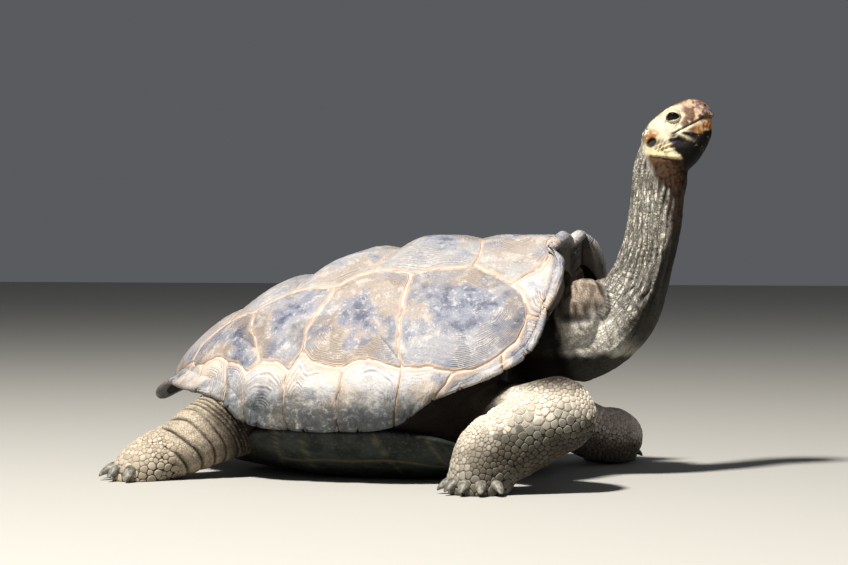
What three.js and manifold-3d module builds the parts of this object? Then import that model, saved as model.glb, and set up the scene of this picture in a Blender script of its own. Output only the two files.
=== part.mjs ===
// A Galapagos giant tortoise at life size, lying on its belly with its neck stretched up.
// Millimetres. +X runs toward the head, +Y toward the animal's left side, +Z up.
import * as THREE from 'three';
import { mergeVertices } from 'three/addons/utils/BufferGeometryUtils.js';
import Module from 'manifold-3d';

const wasm = await Module();
wasm.setup();

const TURN = Math.PI * 2;
const GAP = 0.45; // clearance cut between touching pieces
const WELD = 0.001; // vertices closer than this are one
const SWELL_ROUNDS = 12;

// ---------------------------------------------------------------- driving dimensions

// The top of the dome, and the middle of the belly plate.
const APEX = new THREE.Vector3(40, 0, 535);
const BELLY_CENTRE = new THREE.Vector3(-50, 0, 0);
const BODY_CENTRE = new THREE.Vector3(0, 0, 200);

// Stations round the right side of the shell, from the notch over the neck to the tail.
// Each has a point of the dome's lower edge, and the point of the belly plate's edge below it.
const STATIONS = [
  [[350, 0, 530], [335, 0, 60]],
  [[354, -60, 544], [332, -50, 60]],
  [[348, -112, 522], [320, -98, 58]],
  [[371, -142, 495], [306, -130, 56]],
  [[375, -184, 446], [288, -160, 54]],
  [[368, -245, 382], [264, -192, 52]],
  [[346, -294, 304], [236, -222, 55]],
  [[298, -326, 256], [205, -262, 68]],
  [[150, -360, 187], [150, -325, 94]],
  [[70, -384, 133], [65, -362, 110]],
  [[-55, -392, 120], [-55, -374, 110]],
  [[-175, -392, 123], [-170, -374, 110]],
  [[-283, -372, 137], [-262, -350, 106]],
  [[-352, -334, 176], [-322, -272, 78]],
  [[-412, -306, 194], [-358, -222, 56]],
  [[-464, -274, 199], [-386, -180, 42]],
  [[-530, -200, 206], [-412, -130, 28]],
  [[-592, -110, 204], [-425, -75, 20]],
  [[-648, -48, 176], [-420, -35, 18]],
  [[-662, 0, 164], [-415, 0, 18]],
];

// The dome's section is a superellipse, with its own powers at the front, sides and rear.
// The lip is the last strip of shell at the edge: how long it is, and how far it rises outward.
const DOME = {
  front: { round: 2.2, flat: 0.8, lip: 30, rise: 12, bulge: 0 },
  side: { round: 1.8, flat: 0.62, lip: 3, rise: -24, bulge: 16 },
  rear: { round: 1.45, flat: 0.66, lip: 42, rise: -24, bulge: 0 },
};
const LIP_SHARE = 0.86; // of the rows from apex to edge, those above the lip
const ROW_CROWDING = 1.7; // rows crowd together toward the steep foot of the dome
const BULGE_START = 0.45;
const NORMAL_STEP = 0.004; // to either side of a point, for the face's slope there
// The dips between the plates along the top: X and depth.
const VERTEBRAL_SEAMS = [[141, 7], [-46, 18], [-240, 20], [-410, 10]];
const SEAM_DIP = { length: 34, width: 150 };
const SHELL_THICKNESS = { apex: 24, edge: 12 };

const BELLY = { flatShare: 0.45, thickness: 26, edgeThickness: 14 };

// How far the flesh reaches under the dome, from the apex out, and how deep its sides are drawn in.
const FLESH = {
  front: { reach: 0.8, drawn: 45 },
  side: { reach: 0.93, drawn: 0 },
  rear: { reach: 0.76, drawn: 30 },
};

const FLESH_INSET = 9; // of the trunk from the shell's inner face
const FLESH_FOOT = 0.94; // share of the belly plate that the trunk covers
const FLESH_LIFT = 2; // of the trunk over the belly plate

// The neck, from inside the shell to the throat: [x, y, z, half width, half depth].
const NECK = [
  [230, 0, 285, 108, 108],
  [320, 0, 288, 122, 116],
  [402, 0, 308, 112, 108],
  [472, 0, 358, 90, 94],
  [517, 0, 440, 74, 77],
  [537, 0, 520, 66, 69],
  [547, 0, 610, 60, 63],
  [552, 0, 680, 58, 62],
  [562, 0, 745, 50, 54],
];
const NECK_CUTS = [0.36, 0.62]; // shares of the neck's curve where it is parted

// The head, in its own frame: along the skull, with half width, top and underside.
const HEAD = {
  place: new THREE.Vector3(584, 0, 770),
  pitch: 30, // degrees up
  sections: [
    [-84, 36, 6, -58],
    [-62, 49, 32, -86],
    [-32, 55, 43, -97],
    [0, 53, 47, -93],
    [30, 46, 46, -80],
    [54, 37, 43, -64],
    [74, 27, 33, -45],
    [88, 15, 14, -24],
  ],
};
const MOUTH = { corner: [-4, -16], front: [95, -22], hinge: [-34, -95], slit: 1.2, width: 160 };
const EYE = { radius: 15, along: 17, side: 37.5, up: 17 };

const TAIL = [
  [-350, 0, 105, 52, 45],
  [-430, 0, 92, 42, 36],
  [-500, 12, 62, 30, 26],
  [-552, 30, 34, 19, 17],
  [-590, 55, 16, 10, 9],
];

// Each leg runs from its joint inside the shell to its sole: [x, y, z, half width, half depth].
// The cuts part it at the elbow or knee and at the wrist or ankle, and the sections' width runs
// across. Where a leg doubles back, the elbow's station is named, and each cut is a share of its
// own side's curve.
const LEGS = {
  fore_right: {
    across: new THREE.Vector3(0, 1, 0),
    elbow: 3,
    names: ['upper', 'forearm', 'foot'],
    stations: [
      [170, -205, 185, 74, 68],
      [300, -275, 172, 78, 70],
      [400, -332, 168, 82, 76],
      [427, -366, 161, 86, 82],
      [358, -398, 118, 82, 80],
      [304, -425, 80, 76, 78],
      [284, -436, 28, 71, 69],
      [281, -438, -20, 66, 66],
    ],
    cuts: [0.52, 0.42],
    claws: { count: 5, facing: -100, spread: 112, reach: 64, size: 12 },
  },
  fore_left: {
    across: new THREE.Vector3(1, 0, 0),
    names: ['upper', 'forearm', 'foot'],
    stations: [
      [170, 205, 170, 74, 68],
      [245, 250, 116, 72, 64],
      [316, 290, 78, 70, 64],
      [346, 345, 66, 72, 66],
      [330, 398, 54, 68, 62],
      [318, 425, 20, 66, 62],
      [316, 430, -20, 62, 60],
    ],
    cuts: [0.4, 0.7],
    claws: { count: 5, facing: 92, spread: 112, reach: 60, size: 12 },
  },
  hind_right: {
    across: new THREE.Vector3(0, 1, 0),
    names: ['thigh', 'shank', 'foot'],
    stations: [
      [-240, -190, 150, 76, 72],
      [-345, -250, 130, 84, 84],
      [-405, -302, 98, 76, 76],
      [-446, -346, 68, 66, 64],
      [-488, -378, 46, 66, 60],
      [-518, -398, 14, 70, 60],
      [-526, -402, -24, 66, 56],
    ],
    cuts: [0.34, 0.67],
    claws: { count: 4, facing: -130, spread: 96, reach: 66, size: 12 },
  },
  hind_left: {
    across: new THREE.Vector3(0, 1, 0),
    names: ['thigh', 'shank', 'foot'],
    stations: [
      [-240, 190, 150, 76, 72],
      [-325, 252, 122, 80, 76],
      [-385, 306, 92, 74, 70],
      [-430, 346, 68, 66, 62],
      [-470, 376, 46, 66, 58],
      [-496, 392, 14, 70, 60],
      [-502, 396, -24, 66, 56],
    ],
    cuts: [0.34, 0.67],
    claws: { count: 4, facing: 136, spread: 96, reach: 66, size: 12 },
  },
};
// A claw's curve from its root in the toe: distance out from the toe's face, height and scale.
const CLAW = {
  profile: [[-16, 32, 1], [0, 28.8, 1], [13.2, 20.5, 0.85], [22, 9, 0.5]],
  flatness: 0.8,
};

// Rows and columns of the faceted bodies.
const DETAIL = {
  dome: { columns: 76, outer: 8, inner: 5 },
  belly: { columns: 38, rows: 8 },
  flesh: { columns: 38, top: 5, wall: 4, bottom: 2 },
  neck: { columns: 14, rows: 12 },
  head: { columns: 16, rows: 13 },
  eye: { columns: 10, rows: 6 },
  leg: { columns: 12, rows: 12 },
  halfLeg: { columns: 12, rows: 7 },
  joint: { columns: 10, rows: 6 },
  tail: { columns: 12, rows: 9 },
  claw: { columns: 6, rows: 4 },
};

// ---------------------------------------------------------------- materials

function finish(color, roughness) {
  return new THREE.MeshStandardMaterial({ color, roughness, metalness: 0 });
}

const SHELL_HORN = () => finish(0x8d8680, 0.62);
const BELLY_HORN = () => finish(0x6f665c, 0.7);
const SKIN = () => finish(0xa39684, 0.85);
const CLAW_HORN = () => finish(0x5c564e, 0.5);
const EYE_DARK = () => finish(0x0e0b09, 0.12);

// ---------------------------------------------------------------- solids

function signedVolume(geometry) {
  const index = geometry.index;
  const corner = [0, 1, 2].map(() => new THREE.Vector3());
  let sum = 0;
  for (let face = 0; face < index.count; face += 3) {
    corner.forEach((point, k) => {
      point.fromBufferAttribute(geometry.attributes.position, index.getX(face + k));
    });
    sum += corner[0].dot(corner[1].clone().cross(corner[2]));
  }
  return sum / 6;
}

function facingOut(geometry) {
  if (signedVolume(geometry) > 0) return geometry;
  const index = geometry.index;
  for (let face = 0; face < index.count; face += 3) {
    const first = index.getX(face);
    index.setX(face, index.getX(face + 2));
    index.setX(face + 2, first);
  }
  return geometry;
}

function bare(geometry) {
  geometry.deleteAttribute('normal');
  geometry.deleteAttribute('uv');
  return mergeVertices(geometry, WELD);
}

// A closed body: a sphere's grid, each vertex placed by its share of the turn and of the way down.
function closedBody(columns, rows, place) {
  const grid = new THREE.SphereGeometry(1, columns, rows);
  const position = grid.attributes.position;
  for (let index = 0; index < position.count; index += 1) {
    const column = index % (columns + 1);
    const row = Math.floor(index / (columns + 1));
    const point = place(column / columns, row);
    position.setXYZ(index, point.x, point.y, point.z);
  }
  return facingOut(bare(grid));
}

// The shift that moves every face at a corner out by the distance, found by stepping to each in turn.
function cornerShift(normals, distance) {
  const shift = new THREE.Vector3();
  for (let round = 0; round < SWELL_ROUNDS; round += 1) {
    normals.forEach((normal) => shift.addScaledVector(normal, distance - normal.dot(shift)));
  }
  return shift;
}

// The same body with its faces moved outward.
function swollen(geometry, distance) {
  const { position } = geometry.attributes;
  const around = Array.from({ length: position.count }, () => []);
  const face = new THREE.Triangle();
  for (let start = 0; start < geometry.index.count; start += 3) {
    const corners = [0, 1, 2].map((k) => geometry.index.getX(start + k));
    face.setFromAttributeAndIndices(position, ...corners);
    const normal = face.getNormal(new THREE.Vector3());
    corners.forEach((corner) => around[corner].push(normal));
  }
  const copy = geometry.clone();
  const point = new THREE.Vector3();
  around.forEach((normals, corner) => {
    point.fromBufferAttribute(position, corner).add(cornerShift(normals, distance));
    copy.attributes.position.setXYZ(corner, point.x, point.y, point.z);
  });
  return copy;
}

function toSolid(geometry) {
  const vertProperties = new Float32Array(geometry.attributes.position.array);
  const triVerts = new Uint32Array(geometry.index.array);
  return new wasm.Manifold(new wasm.Mesh({ numProp: 3, vertProperties, triVerts }));
}

// The largest piece of a cut solid: the others are slivers left by the cuts.
function mainPiece(solid) {
  return solid.decompose().reduce((most, piece) => (piece.volume() > most.volume() ? piece : most));
}

function toMesh(name, solid, material) {
  const { vertProperties, triVerts } = mainPiece(solid).getMesh();
  const geometry = new THREE.BufferGeometry();
  geometry.setAttribute('position', new THREE.BufferAttribute(new Float32Array(vertProperties), 3));
  geometry.setIndex(new THREE.BufferAttribute(new Uint32Array(triVerts), 1));
  geometry.computeVertexNormals();
  const mesh = new THREE.Mesh(geometry, material);
  mesh.name = name;
  return mesh;
}

// What is left of a solid beyond the clearance of others.
function clearOf(solid, others) {
  return others.reduce((rest, other) => rest.subtract(toSolid(swollen(other, GAP))), solid);
}

// Everything stands on the floor, so what a round body has below it becomes a flat.
function onFloor(solid) {
  return solid.trimByPlane([0, 0, 1], 0);
}

// ---------------------------------------------------------------- shell

function mirrored([x, y, z]) {
  return [x, -y, z];
}

// A closed curve round the body through one column of the stations.
function roundCurve(which) {
  const right = STATIONS.map((station) => station[which]);
  const left = right.slice(1, -1).reverse().map(mirrored);
  const points = [...right, ...left].map((xyz) => new THREE.Vector3(...xyz));
  return new THREE.CatmullRomCurve3(points, true, 'centripetal');
}

const SHELL_EDGE = roundCurve(0);
const BELLY_EDGE = roundCurve(1);

// How much a direction out from the apex belongs to the front, the side and the rear.
function weightsOf(direction) {
  const front = Math.max(0, direction.x) ** 2;
  const rear = Math.max(0, -direction.x) ** 2;
  return { front, rear, side: 1 - front - rear };
}

function blended(table, weights, key) {
  return ['front', 'side', 'rear'].reduce((sum, name) => sum + table[name][key] * weights[name], 0);
}

function seamDip(x, y) {
  const across = Math.exp(-((y / SEAM_DIP.width) ** 2));
  const along = VERTEBRAL_SEAMS.map(([seam, depth]) => {
    const away = (x - seam) / SEAM_DIP.length;
    return depth * Math.exp(-(away ** 2));
  });
  return across * Math.max(...along);
}

// The outer face of the shell: share 0 is the apex, 1 the edge.
function shellFace(turn, share) {
  const edge = SHELL_EDGE.getPoint(turn);
  const out = new THREE.Vector3(edge.x - APEX.x, edge.y, 0);
  const reach = out.length();
  out.normalize();
  const weights = weightsOf(out);
  const lip = blended(DOME, weights, 'lip');
  const root = edge.z - blended(DOME, weights, 'rise');
  const domeShare = Math.min(1, share / LIP_SHARE);
  const lipShare = Math.max(0, (share - LIP_SHARE) / (1 - LIP_SHARE));
  const radial = 1 - (1 - domeShare) ** ROW_CROWDING;
  const height = (1 - radial ** blended(DOME, weights, 'round')) ** blended(DOME, weights, 'flat');
  const bulgeShare = Math.max(0, (share - BULGE_START) / (1 - BULGE_START));
  const bulge = blended(DOME, weights, 'bulge') * Math.sin(Math.PI * bulgeShare);
  const distance = radial * (reach - lip) + lipShare * lip + bulge;
  const point = new THREE.Vector3(APEX.x, 0, root + (APEX.z - root) * height);
  point.addScaledVector(out, distance);
  point.z += lipShare * (edge.z - root);
  point.z -= seamDip(point.x, point.y) * (1 - lipShare);
  return point;
}

function shellNormal(turn, share) {
  const step = NORMAL_STEP;
  const near = Math.min(Math.max(share, step), 1 - step);
  const down = shellFace(turn, near + step).sub(shellFace(turn, near - step));
  const round = shellFace((turn + step) % 1, near).sub(shellFace((turn - step + 1) % 1, near));
  const normal = down.cross(round).normalize();
  const outward = shellFace(turn, near).sub(BODY_CENTRE);
  return normal.dot(outward) < 0 ? normal.negate() : normal;
}

function shellInside(turn, share, extra) {
  if (share === 0) return APEX.clone().setZ(APEX.z - SHELL_THICKNESS.apex - extra);
  const thickness = THREE.MathUtils.lerp(SHELL_THICKNESS.apex, SHELL_THICKNESS.edge, share);
  const point = shellFace(turn, share);
  return point.addScaledVector(shellNormal(turn, share), -thickness - extra);
}

function carapaceBody() {
  const { columns, outer, inner } = DETAIL.dome;
  return closedBody(columns, outer + inner + 1, (turn, row) => {
    if (row <= outer) return shellFace(turn, row / outer);
    return shellInside(turn, (outer + inner + 1 - row) / inner, 0);
  });
}

// The belly plate: flat in the middle, its edges turned up to meet the dome.
function bellyFace(turn, share, lift) {
  const edge = BELLY_EDGE.getPoint(turn);
  const point = BELLY_CENTRE.clone().lerp(edge, share);
  const turnedUp = Math.max(0, (share - BELLY.flatShare) / (1 - BELLY.flatShare));
  point.z = edge.z * turnedUp ** 2 + lift;
  return point;
}

function bellyThickness(share) {
  return THREE.MathUtils.lerp(BELLY.thickness, BELLY.edgeThickness, share ** 2);
}

function plastronBody() {
  const { columns, rows } = DETAIL.belly;
  const under = rows / 2;
  return closedBody(columns, rows + 1, (turn, row) => {
    if (row <= under) return bellyFace(turn, row / under, 0);
    const share = (rows + 1 - row) / under;
    return bellyFace(turn, share, bellyThickness(share));
  });
}

// A point on the facets of the shell's inner face, which its rows span with straight lines.
function shellLining(turn, share) {
  const rows = DETAIL.dome.inner;
  const row = Math.min(Math.floor(share * rows), rows - 1);
  const above = shellInside(turn, row / rows, FLESH_INSET);
  return above.lerp(shellInside(turn, (row + 1) / rows, FLESH_INSET), share * rows - row);
}

// The trunk fills the shell, and its skin is drawn in behind the front and rear edges.
function trunkBody() {
  const { columns, top, wall, bottom } = DETAIL.flesh;
  const rows = top + wall + bottom;
  return closedBody(columns, rows, (turn, row) => {
    const edge = SHELL_EDGE.getPoint(turn);
    const out = new THREE.Vector3(edge.x - APEX.x, edge.y, 0).normalize();
    const weights = weightsOf(out);
    const reach = blended(FLESH, weights, 'reach');
    if (row <= top) return shellLining(turn, (row / top) * reach);
    const foot = row < top + wall ? FLESH_FOOT : (FLESH_FOOT * (rows - row)) / bottom;
    const floor = bellyFace(turn, foot, bellyThickness(foot) + FLESH_LIFT);
    if (row >= top + wall) return floor;
    const share = (row - top) / wall;
    const point = shellLining(turn, reach).lerp(floor, share);
    const drawn = blended(FLESH, weights, 'drawn') * Math.sin(Math.PI * share);
    return point.addScaledVector(out, -drawn);
  });
}

// ---------------------------------------------------------------- neck, legs and tail

const CAP_POWER = 8; // how blunt the ends of a swept body are

function sweptCurves(stations) {
  const points = stations.map(([x, y, z]) => new THREE.Vector3(x, y, z));
  const sizes = stations.map(([, , , wide, deep]) => new THREE.Vector3(wide, deep, 0));
  return {
    spine: new THREE.CatmullRomCurve3(points, false, 'centripetal'),
    size: new THREE.CatmullRomCurve3(sizes, false, 'centripetal'),
  };
}

// A body with oval sections along a curve, its ends rounded over.
function sweptBody(stations, { columns, rows }, across) {
  const { spine, size } = sweptCurves(stations);
  return closedBody(columns, rows, (turn, row) => {
    const along = (1 - Math.cos((Math.PI * row) / rows)) / 2;
    const cap = (1 - Math.abs(2 * along - 1) ** CAP_POWER) ** (1 / CAP_POWER);
    const tangent = spine.getTangent(along);
    const deep = tangent.clone().cross(across).normalize();
    const wide = deep.clone().cross(tangent);
    const extent = size.getPoint(along);
    const point = spine.getPoint(along);
    point.addScaledVector(wide, Math.cos(turn * TURN) * extent.x * cap);
    return point.addScaledVector(deep, Math.sin(turn * TURN) * extent.y * cap);
  });
}

// Parts a limb with thin cuts square to its curve, and returns the lengths in order.
function parted(solid, stations, cuts) {
  const { spine } = sweptCurves(stations);
  const lengths = [];
  let rest = solid;
  cuts.forEach((share) => {
    const normal = spine.getTangent(share);
    const offset = normal.dot(spine.getPoint(share));
    const beyond = normal.toArray();
    const before = normal.clone().negate().toArray();
    lengths.push(rest.trimByPlane(before, -offset + GAP / 2));
    rest = rest.trimByPlane(beyond, offset + GAP / 2);
  });
  lengths.push(rest);
  return lengths;
}

const SIDEWAYS = new THREE.Vector3(0, 1, 0);

function clawBodies({ stations, claws }) {
  const [x, y] = stations.at(-2);
  return Array.from({ length: claws.count }, (_, index) => {
    const share = index / (claws.count - 1) - 0.5;
    const angle = THREE.MathUtils.degToRad(claws.facing + share * claws.spread);
    const ahead = new THREE.Vector2(Math.cos(angle), Math.sin(angle));
    const profile = CLAW.profile.map(([out, height, scale]) => [
      x + ahead.x * (claws.reach + out),
      y + ahead.y * (claws.reach + out),
      height,
      claws.size * scale,
      claws.size * scale * CLAW.flatness,
    ]);
    const across = new THREE.Vector3(-ahead.y, ahead.x, 0);
    return sweptBody(profile, DETAIL.claw, across);
  });
}

// A ball as wide and deep as a limb's section at one station.
function jointBall([x, y, z, wide, deep]) {
  const ball = bare(new THREE.SphereGeometry(1, DETAIL.joint.columns, DETAIL.joint.rows));
  return facingOut(ball.scale(deep, wide, deep).translate(x, y, z));
}

// A leg's three lengths. One that doubles back is two sweeps that meet in a ball at the elbow, and
// its upper length stops short of the forearm that lies under it.
function legLengths({ stations, across, elbow, cuts }) {
  if (!elbow) return parted(toSolid(sweptBody(stations, DETAIL.leg, across)), stations, cuts);
  const above = stations.slice(0, elbow + 1);
  const below = stations.slice(elbow);
  const upperBody = sweptBody(above, DETAIL.halfLeg, across);
  const lowerBody = sweptBody(below, DETAIL.halfLeg, across);
  const ball = jointBall(stations[elbow]);
  const [upper, rest] = parted(toSolid(upperBody), above, cuts.slice(0, 1));
  const bent = rest.add(toSolid(ball)).add(toSolid(lowerBody));
  return [clearOf(upper, [ball, lowerBody]), ...parted(bent, below, cuts.slice(1))];
}

function legMeshes(name, leg, core) {
  const claws = clawBodies(leg);
  const flesh = legLengths(leg).map((solid, index) => {
    const clear = clearOf(onFloor(solid), [...core, ...claws]);
    return toMesh(`${name}_${leg.names[index]}`, clear, SKIN());
  });
  const horn = claws.map((claw, index) => {
    const solid = onFloor(toSolid(claw));
    return toMesh(`${name}_claw_${index + 1}`, solid, CLAW_HORN());
  });
  return [...flesh, ...horn];
}

// ---------------------------------------------------------------- head

const HEAD_FRAME = new THREE.Matrix4()
  .makeTranslation(HEAD.place.x, HEAD.place.y, HEAD.place.z)
  .multiply(new THREE.Matrix4().makeRotationY(-THREE.MathUtils.degToRad(HEAD.pitch)));

function headBody() {
  const { columns, rows } = DETAIL.head;
  const middles = HEAD.sections.map(([along, , top, under]) => (
    new THREE.Vector3(along, 0, (top + under) / 2)
  ));
  const extents = HEAD.sections.map(([, wide, top, under]) => (
    new THREE.Vector3(wide, (top - under) / 2, 0)
  ));
  const spine = new THREE.CatmullRomCurve3(middles, false, 'centripetal');
  const size = new THREE.CatmullRomCurve3(extents, false, 'centripetal');
  const body = closedBody(columns, rows, (turn, row) => {
    const along = (1 - Math.cos((Math.PI * row) / rows)) / 2;
    const cap = (1 - Math.abs(2 * along - 1) ** CAP_POWER) ** (1 / CAP_POWER);
    const extent = size.getPoint(along);
    const point = spine.getPoint(along);
    point.y += Math.cos(turn * TURN) * extent.x * cap;
    point.z += Math.sin(turn * TURN) * extent.y * cap;
    return point;
  });
  return body.applyMatrix4(HEAD_FRAME);
}

function eyeBody(side) {
  const ball = bare(new THREE.SphereGeometry(EYE.radius, DETAIL.eye.columns, DETAIL.eye.rows));
  ball.translate(EYE.along, side * EYE.side, EYE.up);
  return facingOut(ball.applyMatrix4(HEAD_FRAME));
}

// The lower jaw's share of the head: below the mouth and ahead of the hinge.
function jawBlock(slack) {
  const outline = new THREE.Shape();
  outline.moveTo(MOUTH.corner[0] - slack, MOUTH.corner[1] + slack);
  outline.lineTo(MOUTH.front[0] + slack, MOUTH.front[1] + slack);
  outline.lineTo(MOUTH.front[0] + slack, MOUTH.hinge[1] - slack);
  outline.lineTo(MOUTH.hinge[0] - slack, MOUTH.hinge[1] - slack);
  const block = new THREE.ExtrudeGeometry(outline, { depth: MOUTH.width, bevelEnabled: false });
  block.translate(0, 0, -MOUTH.width / 2);
  block.rotateX(Math.PI / 2);
  return facingOut(bare(block).applyMatrix4(HEAD_FRAME));
}

function headMeshes() {
  const eyes = [-1, 1].map(eyeBody);
  const whole = clearOf(toSolid(headBody()), eyes);
  const jaw = whole.intersect(toSolid(jawBlock(0)));
  const skull = whole.subtract(toSolid(jawBlock(MOUTH.slit)));
  return [
    toMesh('head', skull, SKIN()),
    toMesh('lower_jaw', jaw, SKIN()),
    toMesh('eye_right', toSolid(eyes[0]), EYE_DARK()),
    toMesh('eye_left', toSolid(eyes[1]), EYE_DARK()),
  ];
}

// ---------------------------------------------------------------- the whole animal

function tortoise() {
  const carapace = carapaceBody();
  const plastron = plastronBody();
  const trunk = trunkBody();
  const core = [carapace, plastron, trunk];
  const neck = toSolid(sweptBody(NECK, DETAIL.neck, SIDEWAYS));
  const neckLengths = parted(clearOf(neck, [...core, headBody()]), NECK, NECK_CUTS);
  const neckNames = ['neck_base', 'neck_middle', 'neck_top'];
  const tail = clearOf(onFloor(toSolid(sweptBody(TAIL, DETAIL.tail, SIDEWAYS))), core);
  const legs = Object.entries(LEGS).flatMap(([name, leg]) => legMeshes(name, leg, core));
  const group = new THREE.Group();
  group.add(
    toMesh('carapace', toSolid(carapace), SHELL_HORN()),
    toMesh('plastron', onFloor(clearOf(toSolid(plastron), [carapace])), BELLY_HORN()),
    toMesh('trunk', clearOf(toSolid(trunk), [carapace, plastron]), SKIN()),
    ...neckLengths.map((solid, index) => toMesh(neckNames[index], solid, SKIN())),
    ...headMeshes(),
    toMesh('tail', tail, SKIN()),
    ...legs,
  );
  const box = new THREE.Box3().setFromObject(group);
  const middle = box.getCenter(new THREE.Vector3());
  group.position.set(-middle.x, -middle.y, -box.min.z);
  return group;
}

export default tortoise();
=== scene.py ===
# %% [markdown]
# A giant tortoise, life size, made over a frame of CAD solids. The frame gives every place and
# size: X runs toward the head, Y toward the animal's left, Z up, all in metres.
# %% Load the frame
import math
import bpy
import numpy as np
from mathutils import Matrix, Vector, noise
from mathutils.bvhtree import BVHTree
from mathutils.kdtree import KDTree


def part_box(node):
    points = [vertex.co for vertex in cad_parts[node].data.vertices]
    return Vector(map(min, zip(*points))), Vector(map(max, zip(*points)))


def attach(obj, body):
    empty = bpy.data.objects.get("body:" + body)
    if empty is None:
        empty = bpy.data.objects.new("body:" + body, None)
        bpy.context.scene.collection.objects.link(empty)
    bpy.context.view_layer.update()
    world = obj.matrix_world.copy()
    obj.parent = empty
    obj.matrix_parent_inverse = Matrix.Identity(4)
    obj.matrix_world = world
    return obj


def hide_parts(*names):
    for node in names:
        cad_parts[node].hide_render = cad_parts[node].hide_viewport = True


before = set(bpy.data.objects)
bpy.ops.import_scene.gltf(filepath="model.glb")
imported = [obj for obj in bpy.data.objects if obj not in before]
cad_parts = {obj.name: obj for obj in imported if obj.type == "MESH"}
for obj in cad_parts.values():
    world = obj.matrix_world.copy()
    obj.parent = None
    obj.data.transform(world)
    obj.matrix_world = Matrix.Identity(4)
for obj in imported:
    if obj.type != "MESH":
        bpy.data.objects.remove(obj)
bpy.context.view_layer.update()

MM = 0.001

# %% [markdown]
# The frame stands centred on its own box, while the animal's plan is drawn from a point in the
# middle of its body. The two eyes tell how far one is moved from the other, because each eye is
# a plain ball whose middle is known in both.
# %% Find the plan's origin
HEAD_PLACE = np.array([584, 0, 770]) * MM
HEAD_PITCH = math.radians(30)
HEAD_ALONG = np.array([math.cos(HEAD_PITCH), 0, math.sin(HEAD_PITCH)])
HEAD_UP = np.array([-math.sin(HEAD_PITCH), 0, math.cos(HEAD_PITCH)])
EYE = {"along": 17 * MM, "side": 37.5 * MM, "up": 17 * MM, "radius": 15 * MM}


def middle_of(node):
    low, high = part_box(node)
    return (np.array(low) + np.array(high)) / 2


eyes_middle = (middle_of("eye_right") + middle_of("eye_left")) / 2
ORIGIN = eyes_middle - HEAD_PLACE - EYE["along"] * HEAD_ALONG - EYE["up"] * HEAD_UP
ORIGIN[2] = 0.0
print("plan origin", ORIGIN.round(5))

# %% [markdown]
# A photographer's long lens far from the animal, a little above its belly, keeps its proportions
# true. The camera is a plain one, placed by numbers, so it is the same each time.
# %% Camera
camera_data = bpy.data.cameras.new("camera")
camera_data.lens = 102.74
camera_data.clip_end = 200
camera = bpy.data.objects.new("camera", camera_data)
bpy.context.collection.objects.link(camera)
camera.location = Vector((1.881, -5.168, 0.5)) + Vector(ORIGIN)
camera.rotation_euler = (math.radians(90 - 0.734), 0, math.radians(20))
bpy.context.scene.camera = camera
print("camera at", tuple(round(v, 3) for v in camera.location))

# %% [markdown]
# Colours are written as sRGB hex, as a colour chart gives them, and one function turns them to
# linear. Nodes could be placed by hand in the editor, but one function that adds a node, sets it
# and links it keeps each material readable as text.
# %% Colours and nodes
def paint(code):
    parts = [int(code[i:i + 2], 16) / 255 for i in (1, 3, 5)]
    linear = [p / 12.92 if p <= 0.04045 else ((p + 0.055) / 1.055) ** 2.4 for p in parts]
    return (*linear, 1.0)


def add(tree, kind, inputs=None, **settings):
    one = tree.nodes.new(kind)
    for key, value in settings.items():
        setattr(one, key, value)
    for key, value in (inputs or {}).items():
        if isinstance(value, Value):
            tree.links.new(value.socket, one.inputs[key])
        else:
            one.inputs[key].default_value = value
    return one


# %% [markdown]
# Node materials are written like sums. A Value holds one output of a node, and a sign between two
# of them adds the math node that joins them.
# %% Sums of node outputs
class Value:
    """One output of a node in a material's tree."""

    def __init__(self, tree, socket):
        self.tree, self.socket = tree, socket

    def math(self, operation, *others):
        node = add(self.tree, "ShaderNodeMath", dict(enumerate((self, *others))), operation=operation)
        return Value(self.tree, node.outputs[0])

    def __add__(self, other):
        return self.math("ADD", other)

    def __sub__(self, other):
        return self.math("SUBTRACT", other)

    def __rsub__(self, other):
        return self.math("MULTIPLY_ADD", -1.0, other)

    def __mul__(self, other):
        return self.math("MULTIPLY", other)

    def ramp(self, low, high, to_low=0.0, to_high=1.0):
        """A soft step from to_low to to_high as the value goes from low to high."""
        inputs = {"Value": self, "From Min": low, "From Max": high, "To Min": to_low, "To Max": to_high}
        node = add(self.tree, "ShaderNodeMapRange", inputs, interpolation_type="SMOOTHSTEP")
        return Value(self.tree, node.outputs["Result"])


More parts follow.
